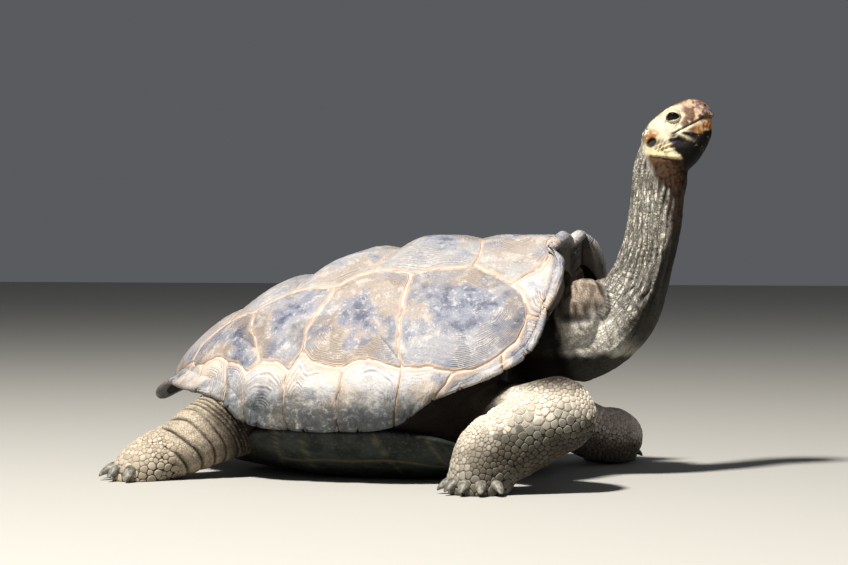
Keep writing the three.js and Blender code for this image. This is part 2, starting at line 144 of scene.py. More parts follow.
# %% [markdown]
# A real surface gets its colour in layers: its own stuff, then wear, then dust and dirt. A Finish
# does the same, and here some coats are painted shade as well. It starts with a ground and takes one
# coat after another, each with a share that says where it lies. At the end the surface is dented by a
# height and given to its pieces.
# %% A finish laid down in coats
class Finish:
    """A material and the colour it has so far."""

    def __init__(self, name, roughness, specular, ground="#808080"):
        self.material = bpy.data.materials.new(name)
        self.material.use_nodes = True
        self.tree = self.material.node_tree
        self.inputs = self.tree.nodes["Principled BSDF"].inputs
        self.inputs["Roughness"].default_value = roughness
        self.inputs["Specular IOR Level"].default_value = specular
        self.colour = paint(ground)
        self.place = self.node("ShaderNodeTexCoord", "Object")

    def node(self, kind, output, inputs=None, **settings):
        return Value(self.tree, add(self.tree, kind, inputs, **settings).outputs[output])

    def layer(self, name, kind="Fac"):
        """A value kept on the mesh's points."""
        return self.node("ShaderNodeAttribute", kind, attribute_name=name)

    def height(self):
        return self.node("ShaderNodeSeparateXYZ", "Z", {"Vector": self.place})

    def noise(self, size_mm, detail=3.0, rough=0.6, seed=0.0):
        """Noise whose lumps are about size_mm across."""
        moved = self.node("ShaderNodeMapping", "Vector",
                          {"Vector": self.place, "Location": (seed, seed * 2.3, seed * 0.7)})
        return self.node("ShaderNodeTexNoise", "Fac", {"Vector": moved, "Scale": 1000 / size_mm,
                                                       "Detail": detail, "Roughness": rough})

    def blend(self, share, under, over, mode="MIX"):
        under, over = (paint(c) if isinstance(c, str) else c for c in (under, over))
        return self.node("ShaderNodeMix", 2, {0: share, 6: under, 7: over}, data_type="RGBA",
                         blend_type=mode)

    def coat(self, share, over, mode="MIX"):
        """Lays a colour over the one so far."""
        self.colour = self.blend(share, self.colour, over, mode)

    def close(self, pieces, height=None, distance_mm=1.0, strength=1.0):
        """Links the colour, dents the surface by a height and gives the material to its pieces."""
        self.tree.links.new(self.colour.socket, self.inputs["Base Color"])
        if height is not None:
            bump = self.node("ShaderNodeBump", "Normal", {"Height": height, "Distance": distance_mm * MM,
                                                          "Strength": strength})
            self.tree.links.new(bump.socket, self.inputs["Normal"])
        for piece in pieces:
            piece.data.materials.clear()
            piece.data.materials.append(self.material)


# %% [markdown]
# One strong lamp high on the viewer's side stands for the sun, wide enough for soft shadow edges.
# A weak cool fill and a dim sky keep the shadows from going black. The floor is one wide plain
# sheet, matt and grey, so that the animal's own colours are what one sees.
# %% Floor and light
def soft_lamp(name, place, aim, size, power, colour):
    data = bpy.data.lights.new(name, "AREA")
    data.shape, data.size, data.energy, data.color = "DISK", size, power, colour
    lamp = bpy.data.objects.new(name, data)
    bpy.context.collection.objects.link(lamp)
    lamp.location = place
    lamp.rotation_euler = (Vector(aim) - Vector(place)).to_track_quat("-Z", "Y").to_euler()
    return lamp


bpy.ops.object.select_all(action="DESELECT")
bpy.ops.mesh.primitive_plane_add(size=60, location=(0, 0, 0))
floor = bpy.context.object
floor.name = "studio_floor"
floor_paint = Finish("matt studio paint", 0.9, 0.2)
floor_paint.inputs["Base Color"].default_value = paint("#aeaca7")
floor.data.materials.append(floor_paint.material)

soft_lamp("key", (-0.7, -4.7, 6.7), (0, 0, 0.3), 0.9, 1420, (1.0, 0.965, 0.9))
soft_lamp("fill", (4.5, -4.5, 3.0), (0, 0, 0.3), 4.0, 8, (0.85, 0.92, 1.0))
world = bpy.data.worlds.new("studio")
bpy.context.scene.world = world
world.use_nodes = True
backdrop = world.node_tree.nodes["Background"].inputs
backdrop["Color"].default_value, backdrop["Strength"].default_value = paint("#cfd4da"), 0.16
bpy.context.scene.view_settings.view_transform = "Standard"  # colours as they are, no film curve
print("lamps", [lamp.name for lamp in bpy.data.lights])

# %% [markdown]
# Blender's mesh data is filled straight from number arrays here, because an animal's surface is a
# field of many thousands of points that follow rules, which no one would push about by hand. A
# closed body is a stack of rings with one point at each end.
# %% Mesh from rings
def new_piece(name, points, quads, tris, layers=None):
    mesh = bpy.data.meshes.new(name)
    quads = np.asarray(quads, np.int32).reshape(-1, 4)
    tris = np.asarray(tris, np.int32).reshape(-1, 3)
    loops = np.concatenate([quads.ravel(), tris.ravel()])
    totals = np.concatenate([np.full(len(quads), 4), np.full(len(tris), 3)]).astype(np.int32)
    mesh.vertices.add(len(points))
    mesh.vertices.foreach_set("co", np.asarray(points, np.float32).ravel())
    mesh.loops.add(len(loops))
    mesh.loops.foreach_set("vertex_index", loops)
    mesh.polygons.add(len(totals))
    starts = np.concatenate([[0], np.cumsum(totals)[:-1]]).astype(np.int32)
    mesh.polygons.foreach_set("loop_start", starts)
    mesh.update(calc_edges=True)
    mesh.validate()
    for key, values in (layers or {}).items():
        layer = mesh.attributes.new(key, "FLOAT", "POINT")
        layer.data.foreach_set("value", np.asarray(values, np.float32))
    mesh.polygons.foreach_set("use_smooth", np.ones(len(mesh.polygons), bool))
    piece = bpy.data.objects.new(name, mesh)
    bpy.context.collection.objects.link(piece)
    return piece


def turned_out(points, quads, tris):
    """The faces of a closed body, turned over if they look inward."""
    split = np.concatenate([quads[:, [0, 1, 2]], quads[:, [0, 2, 3]], tris])
    a, b, c = (points[split[:, k]] for k in range(3))
    outward = np.einsum("ij,ij->", a, np.cross(b, c)) > 0
    return (quads, tris) if outward else (quads[:, ::-1], tris[:, ::-1])


def ring_faces(points, rings, around):
    """Faces of a body of rings, its first and last points single."""
    one = np.arange(around)
    two = (one + 1) % around
    quads = [np.stack([1 + r * around + one, 1 + (r + 1) * around + one, 1 + (r + 1) * around + two,
                       1 + r * around + two], -1) for r in range(rings - 1)]
    last = 1 + (rings - 1) * around
    top = np.stack([np.zeros_like(one), 1 + one, 1 + two], -1)
    foot = np.stack([np.full_like(one, last + around), last + two, last + one], -1)
    return turned_out(points, np.concatenate(quads), np.concatenate([top, foot]))


# %% Soft steps and noise
def mix(a, b, share):
    return a + (b - a) * share


def smooth(low, high, value):
    t = np.clip((value - low) / (high - low), 0, 1)
    return t * t * (3 - 2 * t)


def hump(value, middle, width):
    """1 at the middle, and next to nothing two widths away."""
    return np.exp(-(((value - middle) / width) ** 2))


def unit(vectors):
    return vectors / np.maximum(np.linalg.norm(vectors, axis=-1), 1e-6)[..., None]


def disk(turns):
    """Points of a circle of radius 1, turns counted in whole rounds."""
    return np.stack([np.cos(2 * np.pi * turns), np.sin(2 * np.pi * turns)], -1)


def grain(points, scale, seed=0.0):
    """Smooth noise from -1 to 1 at each point, its lumps about scale metres across."""
    move = Vector((seed, seed * 1.7, seed * 0.3))
    return np.array([noise.noise(Vector(p) / scale + move) for p in points])


# %% [markdown]
# The shell is a dome inside a closed curve through named stations of its lower edge. A share of 0
# is the top of the dome and 1 is the edge, and the section between is a superellipse, steeper and
# fuller at the sides. These are the sizes the CAD solid has, so the horn sits where it should.
# %% Smooth curves
def curve(points, t, closed=False):
    """Centripetal Catmull-Rom curve at shares t, as the CAD sweeps use."""
    points = np.asarray(points, float)
    t = np.atleast_1d(t).astype(float)
    count = len(points)
    at = t * (count if closed else count - 1)
    if closed:
        i = np.floor(at).astype(int)
        p = [points[(i + k) % count] for k in (-1, 0, 1, 2)]
    else:
        i = np.clip(np.floor(at).astype(int), 0, count - 2)
        more = np.vstack([2 * points[0] - points[1], points, 2 * points[-1] - points[-2]])
        p = [more[i + k] for k in range(4)]
    w = (at - i)[:, None]
    gap = [np.sum((p[k + 1] - p[k]) ** 2, -1)[:, None] ** 0.25 for k in range(3)]
    gap[1] = np.where(gap[1] < 1e-4, 1, gap[1])
    gap = [np.where(g < 1e-4, gap[1], g) for g in gap]
    a = ((p[1] - p[0]) / gap[0] - (p[2] - p[0]) / (gap[0] + gap[1]) + (p[2] - p[1]) / gap[1]) * gap[1]
    b = ((p[2] - p[1]) / gap[1] - (p[3] - p[1]) / (gap[1] + gap[2]) + (p[3] - p[2]) / gap[2]) * gap[1]
    return p[1] + a * w + (-3 * p[1] + 3 * p[2] - 2 * a - b) * w ** 2 + (2 * p[1] - 2 * p[2] + a + b) * w ** 3


# %% Shell dimensions
APEX = np.array([40, 0, 535]) * MM
BELLY_CENTRE = np.array([-50, 0, 0]) * MM
EDGE_STATIONS = np.array([
    [350, 0, 530], [354, -60, 544], [348, -112, 522], [371, -142, 495], [375, -184, 446],
    [368, -245, 382], [346, -294, 304], [298, -326, 256], [150, -360, 187], [70, -384, 133],
    [-55, -392, 120], [-175, -392, 123], [-283, -372, 137], [-352, -334, 176], [-412, -306, 194],
    [-464, -274, 199], [-530, -200, 206], [-592, -110, 204], [-648, -48, 176], [-662, 0, 164]]) * MM
BELLY_STATIONS = np.array([
    [335, 0, 60], [332, -50, 60], [320, -98, 58], [306, -130, 56], [288, -160, 54],
    [264, -192, 52], [236, -222, 55], [205, -262, 68], [150, -325, 94], [65, -362, 110],
    [-55, -374, 110], [-170, -374, 110], [-262, -350, 106], [-322, -272, 78], [-358, -222, 56],
    [-386, -180, 42], [-412, -130, 28], [-425, -75, 20], [-420, -35, 18], [-415, 0, 18]]) * MM
ROUND = 38  # stations all round, so a turn of k / 38 is station k
DOME = {"front": (2.2, 0.8, 30, 12, 0), "side": (1.8, 0.62, 3, -24, 16), "rear": (1.45, 0.66, 42, -24, 0)}
LIP_SHARE, ROW_CROWDING, BULGE_START = 0.86, 1.7, 0.45
VERTEBRAL_SEAMS = [(141, 7), (-46, 18), (-240, 20), (-410, 10)]
THICK = (24 * MM, 12 * MM)  # of the shell at the top and at the edge


def both_sides(right):
    return np.vstack([right, right[1:-1][::-1] * [1, -1, 1]])


SHELL_EDGE, BELLY_EDGE = both_sides(EDGE_STATIONS), both_sides(BELLY_STATIONS)


def by_facing(out, table):
    """Blends a table's front, side and rear values by the way each point looks."""
    front, rear = np.maximum(0, out[:, 0]) ** 2, np.maximum(0, -out[:, 0]) ** 2
    part = {"front": front, "side": 1 - front - rear, "rear": rear}
    return [sum(table[k][i] * part[k] for k in table) for i in range(len(table["side"]))]


# %% The dome as a function
def dome(turn, share):
    edge = curve(SHELL_EDGE, np.mod(turn, 1.0), closed=True)
    out = (edge - APEX) * [1, 1, 0]
    reach = np.linalg.norm(out, axis=1)
    out = out / reach[:, None]
    power, flat, lip, rise, bulge = by_facing(out, DOME)
    lip, bulge, root = lip * MM, bulge * MM, edge[:, 2] - rise * MM
    up = np.minimum(1, share / LIP_SHARE)
    lip_share = np.maximum(0, (share - LIP_SHARE) / (1 - LIP_SHARE))
    radial = 1 - (1 - up) ** ROW_CROWDING
    height = (1 - radial ** power) ** flat
    bulge = bulge * np.sin(np.pi * np.maximum(0, (share - BULGE_START) / (1 - BULGE_START)))
    spot = APEX * [1, 0, 0] + out * (radial * (reach - lip) + lip_share * lip + bulge)[:, None]
    spot[:, 2] = root + (APEX[2] - root) * height + lip_share * (edge[:, 2] - root)
    dips = [deep * np.exp(-(((spot[:, 0] / MM - x) / 34) ** 2)) for x, deep in VERTEBRAL_SEAMS]
    spot[:, 2] -= np.max(dips, 0) * MM * np.exp(-((spot[:, 1] / 0.15) ** 2)) * (1 - lip_share)
    return spot


# %% [markdown]
# A flat chart of the shell makes the plates easy to draw: each point is a turn and a share, laid
# out as a round disk. Beyond a share of 1 the chart rolls round the shell's rim and comes back
# along its inner face, so a rim plate can be one patch that folds over the edge.
# %% Chart of the shell
RIM_ROLL = 0.035  # of share, for the half circle round the rim
WRAP = 1.105  # share where the rim plates end on the shell's inner face
CHART_STEP = 0.004
RIM_SEAMS = [0, 2, 5, 7, 8, 9, 10, 11, 12, 13, 15, 17]  # stations where rim plates meet


def station_of(turn):
    """The station of a turn, counted from the front down either side."""
    station = np.mod(turn, 1) * ROUND
    return np.minimum(station, ROUND - station)


def rim_wear(turn):
    """How far the rim is drawn in: nicks at the seams and chips between, for an old animal."""
    station = station_of(turn)
    nick = sum(hump(station, k, 0.13) for k in RIM_SEAMS[1:])
    flank = smooth(2.5, 4, station) * (1 - smooth(16, 17.5, station))
    circle = np.c_[disk(turn), 0 * turn]
    wave, chip = grain(circle, 1 / 9, 4.0), grain(circle, 1 / 34, 9.0)
    return (nick * 4.5 + (wave * 3 + np.maximum(0, chip - 0.1) * 9) * flank) * MM


def front_share(turn, full, none):
    """1 over the neck, where the rim is fat and its inner face hangs down, and 0 past the shoulder."""
    return 1 - smooth(full, none, station_of(turn))


RIM_HALF = (6 * MM, 11 * MM)  # half the rim's thickness, at the flanks and over the neck
RIM_HANG = 58 * MM
RIM_TURNS = np.linspace(0, 1, 2401)
RIM_WEAR = rim_wear(RIM_TURNS)


def rolled_rim(turn, past):
    """Points past the edge: round the rim, then back along the inner face."""
    edge, above = dome(turn, np.ones(len(turn))), dome(turn, np.full(len(turn), 0.985))
    side = dome(turn + 0.004, np.ones(len(turn))) - dome(turn - 0.004, np.ones(len(turn)))
    down = unit(edge - above)
    face = unit(np.cross(side, down))
    face *= np.sign(np.einsum("ij,ij->i", face, edge - [0, 0, 0.2]))[:, None]
    half = mix(*RIM_HALF, front_share(turn, 2.4, 6.5))[:, None]
    angle = np.clip(past / RIM_ROLL, 0, 1)[:, None] * np.pi
    back = np.maximum(0, past - RIM_ROLL)
    spot = dome(turn, 1 - back) - face * half * (1 - np.cos(angle)) + down * half * np.sin(angle)
    spot[:, 2] -= RIM_HANG * front_share(turn, 2.6, 6.0) * smooth(-0.01, WRAP - 1 - RIM_ROLL, back)
    return spot


# %% [markdown]
# Over the neck the rim is worn into two lobes. The right one is folded back beside the shoulder,
# the left one stands higher, and a narrow cleft lies between them. Chart places with a second
# number above 0 are on the animal's right.
# %% Front of the shell
def front_lobes(side, station):
    """How far the rim is drawn in and lifted at the front, in millimetres."""
    signed = np.where(side > 0, station, -station)
    cleft = hump(signed, -0.3, 0.17)
    shoulder = smooth(2.9, 3.4, station) * (1 - smooth(5.0, 6.6, station))
    drawn = (26 * hump(station, 2.65, 0.42) + 8 * shoulder) * (side > 0) + 16 * cleft
    swell = 22 * hump(station, 2.1, 0.75) + 12 * hump(station, 3.0, 0.7)
    return drawn, 7 * hump(signed, 0.2, 0.35) - 9 * cleft + swell * (side < 0)


def chart_raw(q):
    share = np.maximum(np.linalg.norm(q, axis=1), 1e-6)
    turn = np.arctan2(q[:, 1], q[:, 0]) / (2 * np.pi)
    spot = dome(turn, np.minimum(share, 1))
    past = share > 1
    if past.any():
        spot[past] = rolled_rim(turn[past], share[past] - 1)
    drawn, lifted = front_lobes(q[:, 1], station_of(turn))
    wear = np.interp(np.mod(turn, 1), RIM_TURNS, RIM_WEAR) + RIM_HALF[1] * 0.8 * front_share(turn, 2.4, 6.5)
    wear = wear * smooth(0.9, 1.0, share) + drawn * MM * smooth(0.84, 1.0, share)
    spot[:, 2] += lifted * MM * smooth(0.8, 1.0, share)
    return spot + unit((APEX - spot) * [1, 1, 0]) * (wear * (1 - smooth(1.035, 1.11, share)))[:, None]


def chart(q, lift=0.0):
    """Points of the shell's surface at chart places q, raised by lift square to it."""
    q = np.asarray(q, float)
    spot = chart_raw(q)
    a = chart_raw(q + [CHART_STEP, 0]) - chart_raw(q - [CHART_STEP, 0])
    b = chart_raw(q + [0, CHART_STEP]) - chart_raw(q - [0, CHART_STEP])
    normal = np.cross(b, a)
    normal /= np.linalg.norm(normal, axis=1)[:, None]
    return spot + normal * np.asarray(lift)[..., None], normal


def at_station(station, share):
    angle = 2 * math.pi * station / ROUND
    return np.array([math.cos(angle), math.sin(angle)]) * share


# %% [markdown]
# Under the plates lies the base of the shell: a closed wall, pale in the seams between the plates
# and painted nearly black inside, as shade. It sits a few millimetres below the plates' faces, so the
# seams are real grooves.
# %% Base of the shell
SEAM_DEPTH = 3.0 * MM
BASE_AROUND = 228


def base_shell():
    turns = np.arange(BASE_AROUND) / BASE_AROUND
    shares = np.concatenate([np.linspace(0.02, 1, 50), 1 + np.linspace(0.1, 1, 7) * RIM_ROLL,
                             np.linspace(1 + RIM_ROLL, WRAP + 0.01, 7)[1:]])
    rings = [chart(disk(turns) * s, -SEAM_DEPTH)[0] for s in shares]
    rings += [chart(disk(turns) * s, -mix(*THICK, s))[0] for s in np.linspace(0.86, 0.04, 24)]
    top, foot = (chart(np.zeros((1, 2)), -deep)[0] for deep in (SEAM_DEPTH, THICK[0]))
    inner = np.repeat(np.arange(len(rings)) >= 56, BASE_AROUND)
    return np.concatenate([top, *rings, foot]), len(rings), np.concatenate([[0], inner, [1]]).astype(float)


points, rings, inner = base_shell()
quads, tris = ring_faces(points, rings, BASE_AROUND)
shell_base = new_piece("shell_base", points + ORIGIN, quads, tris, {"inner": inner})
print("base", len(quads) * 2 + len(tris), "triangles")

# %% [markdown]
# A tortoise's shell is covered by horny plates: five down the middle of the back, four on each
# flank, and eleven pairs round the rim with one over the tail. Each grew outward from an old
# centre, so its rings follow its outline. The plates are named by their corners on the chart, one
# side is drawn, and the other is its mirror.
# %% Corners of the plates
CORNERS = {  # station round the shell, share from the top
    "front": (0, 0.78), "brow": (2.3, 0.80), "cheek": (5.75, 0.513), "collar": (7.1, 0.33),
    "nape": (0, 0.199), "crown": (9.13, 0.312), "saddle": (10.74, 0.275), "mid": (19, 0.068),
    "loin": (11.61, 0.36), "hip": (13.87, 0.408), "back": (19, 0.238), "rump": (14.67, 0.518),
    "tailward": (15.92, 0.578), "croup": (19, 0.422), "stern": (16.07, 0.80), "notch": (17, 0.85),
    "end": (19, 0.87), "a": (5.74, 0.70), "b": (7.0, 0.79), "c": (7.71, 0.808), "d": (8.82, 0.70),
    "e": (9.96, 0.675), "f": (11.2, 0.69), "g": (12.4, 0.738), "h": (13.5, 0.75), "i": (15.1, 0.79),
    "j": (12.1, 0.675), "k": (11.03, 0.615)}
# Points between corners that bend a seam.
BENDS = {
    ("collar", "cheek"): [(6.4, 0.41)], ("a", "cheek"): [(5.6, 0.60)],
    ("crown", "d"): [(9.17, 0.42), (9.14, 0.513), (8.98, 0.637)],
    ("b", "a"): [(6.5, 0.775)], ("c", "b"): [(7.42, 0.83)], ("d", "c"): [(8.04, 0.752)],
    ("e", "d"): [(9.85, 0.652), (9.51, 0.645)], ("k", "e"): [(10.71, 0.653)],
    ("loin", "k"): [(11.42, 0.443), (11.28, 0.555)], ("f", "k"): [(11.12, 0.66)],
    ("j", "f"): [(11.6, 0.655)], ("rump", "j"): [(13.5, 0.60), (12.62, 0.64)],
    ("h", "g"): [(13.0, 0.735)], ("i", "h"): [(14.3, 0.74)], ("stern", "i"): [(15.7, 0.82)],
    ("tailward", "stern"): [(16.1, 0.70)], ("notch", "stern"): [(16.6, 0.83)],
    ("brow", "cheek"): [(3.7, 0.67)], ("front", "brow"): [(1.2, 0.80)]}
VERTEBRALS = [["nape", "collar", "cheek", "brow", "front"],
              ["nape", "collar", "crown", "saddle", "mid"],
              ["mid", "saddle", "loin", "hip", "back"],
              ["back", "hip", "rump", "tailward", "croup"],
              ["croup", "tailward", "stern", "notch", "end"]]
COSTALS = [["collar", "crown", "d", "c", "b", "a", "cheek"],
           ["crown", "saddle", "loin", "k", "e", "d"],
           ["loin", "hip", "rump", "j", "f", "k"],
           ["rump", "tailward", "stern", "i", "h", "g", "j"]]
RIM = [("front", "brow", 0, 2), ("brow", "cheek", "a", 2, 5), ("a", "b", 5, 7), ("b", "c", 7, 8),
       ("c", "d", 8, 9), ("d", "e", 9, 10), ("e", "k", "f", 10, 11), ("f", "j", "g", 11, 12),
       ("g", "h", 12, 13), ("h", "i", 13, 15), ("i", "stern", "notch", 15, 17)]
AREOLA = {"v0": (0, 0.46), "v1": (9, 0.06), "v2": (19, 0.16), "v3": (19, 0.345), "v4": (19, 0.65),
          "c0": (7.75, 0.52), "c1": (10.3, 0.46), "c2": (12.3, 0.50), "c3": (14.3, 0.64)}


# %% Outlines of the plates
def seam(one, two):
    """Chart points from one corner up to, not including, the next."""
    way = BENDS.get((one, two)) or list(reversed(BENDS.get((two, one), [])))
    return [at_station(*CORNERS[one]), *(at_station(*p) for p in way)]


def outline(names):
    return [p for one, two in zip(names, names[1:] + names[:1]) for p in seam(one, two)]


def flipped(points):
    return [np.array([p[0], -p[1]]) for p in points]


def middle_plate(names):
    """A plate across the back: its right half, then the same corners mirrored."""
    right = [p for one, two in zip(names, names[1:]) for p in seam(one, two)]
    right.append(at_station(*CORNERS[names[-1]]))
    return right + flipped(reversed(right[1:-1]))


def rim_plate(*names, first, last):
    """A plate from its inner corners, round the rim, to the shell's inner face."""
    inner = [p for one, two in zip(names, names[1:]) for p in seam(one, two)]
    inner.append(at_station(*CORNERS[names[-1]]))
    shares = np.linspace(1, WRAP, 5)
    foot = [at_station(k, WRAP) for k in np.linspace(last, first, 9)[1:-1]]
    return [*inner, *(at_station(last, s) for s in shares), *foot,
            *(at_station(first, s) for s in reversed(shares))]


# %% [markdown]
# Each plate is a wheel of rings round its old centre. The outer rings roll down into the seam, the
# next ones carry the growth steps, and the face is a little domed and worn. What a ring tells the
# finish is kept on the mesh: how far out the point is, how near the seam, and which plate it is.
# %% One plate
EDGE_ROLL = np.array([0, 0.7, 1.6, 3.0, 5.0, 8.0]) * MM
SEAM_GAP = 1.3 * MM
PLATE_BODY = 5.5 * MM


def resample(boundary, count):
    """The outline as evenly spaced chart points, its corners softened."""
    closed = np.array(boundary + boundary[:1])
    steps = np.linspace(0, 1, 24, endpoint=False)[:, None]
    fine = np.concatenate([mix(a, b, steps) for a, b in zip(closed, closed[1:])])
    level = np.c_[fine, np.zeros(len(fine))]
    wander = np.stack([grain(level, 0.045, 3.0), grain(level, 0.045, 11.0)], -1)
    fine = fine + wander * 0.006 * (1 - smooth(0.98, 1.0, np.linalg.norm(fine, axis=1)))[:, None]
    spots = chart_raw(fine)
    steps = np.linalg.norm(np.roll(spots, -1, 0) - spots, axis=1)
    way = np.concatenate([[0], np.cumsum(steps)])
    at = np.arange(count) / count * way[-1]
    even = np.stack([np.interp(at, way, np.append(fine[:, k], fine[0, k])) for k in (0, 1)], -1)
    for _ in range(3):
        even = (np.roll(even, 1, 0) + 2 * even + np.roll(even, -1, 0)) / 4
    return even, way[-1]


# %% Rings of one plate
def plate(boundary, centre, number, rings, spacing, swell, steps):
    length = resample(boundary, 8)[1]
    around = int(length / spacing)
    rim = resample(boundary, around)[0]
    centre = np.asarray(centre, float)
    spots, hub = chart_raw(rim), chart_raw(centre[None])[0]
    radius = np.maximum(np.linalg.norm(spots - hub, axis=1), 0.012)
    inside = np.linspace(0, 1, rings + 1)[1:-1][:, None]
    ups = np.maximum(0.02, np.concatenate([inside * (1 - (EDGE_ROLL[-1] + SEAM_GAP) / radius),
                                           1 - (EDGE_ROLL[::-1, None] + SEAM_GAP) / radius]))
    flat = (centre + (rim - centre)[None] * ups[..., None]).reshape(-1, 2)
    spots, normal = chart(flat)
    away = ((1 - ups) * radius).ravel()
    out = ups.ravel()
    lumps, flakes = grain(spots, 0.05, number), grain(spots, 0.016, number + 7)
    phase = out * steps + lumps * 0.45
    fade = smooth(0.22, 0.4, out) * smooth(0, 9 * MM, away)
    step = (1 - np.abs(2 * (phase % 1) - 1)) * 0.75 * MM * fade
    old = 1 - smooth(0.16, 0.34, out + flakes * 0.1)
    lift = swell * (1 - out ** 2) + step + lumps * 1.0 * MM + flakes * 0.35 * MM
    lift -= old * (0.6 + 1.2 * np.maximum(0, flakes)) * MM
    lift -= 2.6 * MM * (1 - np.clip((away - SEAM_GAP) / (4.5 * MM), 0, 1)) ** 2
    top = spots + normal * lift[:, None]
    hub_top, hub_normal = chart(centre[None])
    under = [chart(centre + (rim - centre) * (ups[-1][:, None] * share), -PLATE_BODY)[0]
             for share in (1.0, 0.8, 0.55, 0.3)]
    hub_under = chart(centre[None], -PLATE_BODY)[0]
    points = np.concatenate([hub_top + hub_normal * swell, top, *under, hub_under])
    more = len(under) * around + 1
    folded = smooth(1.012, 1.04, np.linalg.norm(flat, axis=1))
    layers = {"out": np.concatenate([[0], out, np.ones(more)]),
              "seam": np.concatenate([[0], 1 - smooth(0.001, 0.009, away), np.ones(more)]),
              "rings": np.concatenate([[0], phase, np.full(more, steps)]),
              "plate": np.full(len(points), (number * 0.37) % 1.0),
              "inner": np.concatenate([[0], folded, np.ones(more)])}
    return points, *ring_faces(points, len(ups) + len(under), around), layers


# %% Plates joined in one mesh
def joined(name, parts):
    """Several bodies in one mesh, each still closed."""
    starts = np.cumsum([0] + [len(p[0]) for p in parts])
    points = np.concatenate([p[0] for p in parts]) + ORIGIN
    quads = np.concatenate([p[1] + s for p, s in zip(parts, starts)])
    tris = np.concatenate([p[2] + s for p, s in zip(parts, starts)])
    layers = {key: np.concatenate([p[3][key] for p in parts]) for key in parts[0][3]}
    piece = new_piece(name, points, quads, tris, layers)
    print(name, len(quads) * 2 + len(tris), "triangles")
    return piece


# %% All the plates
def one_side(side, line, hub):
    """A plate's outline and old centre, mirrored for the left side."""
    return (flipped(line), flipped([hub])[0]) if side == "left" else (line, hub)


shell_back = joined("shell_back_plates", [
    plate(middle_plate(names), at_station(*AREOLA[f"v{k}"]), k, 36, 5.0 * MM, 4 * MM, 9)
    for k, names in enumerate(VERTEBRALS)])
flanks = {side: joined(f"shell_flank_plates_{side}", [
    plate(*one_side(side, outline(names), at_station(*AREOLA[f"c{k}"])), first + k, 42, 4.5 * MM, 4 * MM, 12)
    for k, names in enumerate(COSTALS)]) for side, first in (("right", 5), ("left", 14))}
rims = {side: joined(f"shell_rim_plates_{side}", [
    plate(*one_side(side, rim_plate(*names, first=low, last=high), at_station(mix(low, high, 0.62), 0.93)),
          first + k, 18, 4.5 * MM, 1.5 * MM, 6)
    for k, (*names, low, high) in enumerate(RIM)]) for side, first in (("right", 20), ("left", 32))}
tail_line = [at_station(*CORNERS["end"]), at_station(*CORNERS["notch"]),
             *(at_station(17, s) for s in np.linspace(1, WRAP, 5)),
             *(at_station(k, WRAP) for k in (17.5, 18, 18.5, 19))]
tail_line = tail_line + flipped(reversed(tail_line[1:-1]))
shell_tail = joined("shell_tail_plate", [
    plate(tail_line, at_station(19, 0.96), 33, 18, 4.5 * MM, 1.5 * MM, 6)])

# %% [markdown]
# Shell horn is keratin, grown in layers and worn by the weather until it is matt. It is a chalky
# grey, warmer toward the young edge of each plate and slate blue where the oldest layers have
# flaked away in the middle. The rings are fine steps, so they are bump with a little colour.
# %% Shell horn
CREAM = "#c3bdb6"
RINGS_PER_STEP, FINE_RINGS = 2.0, 3.0  # lines of colour and of bump to each growth step


def horn_finish(name, warm, cool, slate, core, centre_more, pieces):
    horn = Finish(name, 0.5, 0.4, warm)
    out, edge, phase, inner = (horn.layer(k) for k in ("out", "seam", "rings", "inner"))
    cloud, drift, streak, mottle, speck = (horn.noise(*setting) for setting in (
        (150, 3, 0.55), (85, 5, 0.6, 14.0), (34, 5, 0.65, 4.0), (12, 5, 0.7, 9.0), (4.5, 3, 0.7, 2.0)))
    horn.coat(cloud.ramp(0.44, 0.56), cool)
    horn.coat(streak.ramp(0.50, 0.66) * 0.5, CREAM)
    # Slate where the old centre has worn, torn at its edge, and darker still in patches.
    middle = out.ramp(0.12, 0.70, 0.13 + centre_more, centre_more - 0.03)
    wear = drift + middle + (mottle * 0.12 - 0.06)
    horn.coat(wear.ramp(0.50, 0.58) * 0.8, slate)
    horn.coat(wear.ramp(0.57, 0.66) * streak.ramp(0.58, 0.42) * 0.85, core)
    # Growth rings: thin brown lines, only where the horn is young and sound.
    ring = (phase * (2 * math.pi * RINGS_PER_STEP) + streak * 3.0).math("SINE") * 0.5 + 0.5
    sound = out.ramp(0.25, 0.45) * horn.noise(110, 2, 0.5, 23.0).ramp(0.46, 0.54)
    horn.coat(ring.ramp(0.45, 0.9) * sound * mottle.ramp(0.36, 0.5) * 0.45, "#77695f")
    # Chalky flakes and scratches lie over everything.
    horn.coat(mottle.ramp(0.54, 0.62) * streak.ramp(0.38, 0.55) * 0.6, CREAM)
    horn.coat(speck.ramp(0.60, 0.68) * 0.5, CREAM)
    horn.coat(speck.ramp(0.40, 0.32) * 0.5, "#45434c")
    horn.coat(edge.ramp(0.0, 0.25) * streak.ramp(0.3, 0.55, 0.35, 0.85), "#c2a18a")
    horn.coat(edge.ramp(0.55, 0.95) * streak.ramp(0.25, 0.5, 0.5, 0.9), CREAM)
    # Painted shade: the horn darkens toward the ground, under the shell's overhang, in mottled patches.
    painted_low_shade = (horn.height() + (streak - 0.5) * 0.10).ramp(0.235, 0.155) * mottle.ramp(0.30, 0.5, 0.55, 1.0)
    horn.coat(painted_low_shade * 0.9, "#242a29")
    # Painted shade: where a rim plate folds onto the shell's inner face it is nearly black.
    horn.coat(inner * 0.9, horn.blend(mottle.ramp(0.4, 0.6), "#2c2621", "#14110f"))
    fine = (phase * (2 * math.pi * FINE_RINGS)).math("SINE") * (sound * 0.45)
    horn.close(pieces, fine + mottle * 2.6 + speck, 1.3, 0.9)


# %% Horn of the back, the flanks and the rim
horn_finish("weathered shell keratin", "#9c9189", "#9f9d9e", "#8b8d99", "#5f6273", -0.01,
            (shell_back, shell_tail))
horn_finish("stained shell keratin", "#9a8d84", "#908f95", "#747989", "#484d60", 0.01, flanks.values())
horn_finish("stained rim keratin", "#c6b8ad", "#b6b4b6", "#8c909b", "#5a5f6c", 0.02, rims.values())

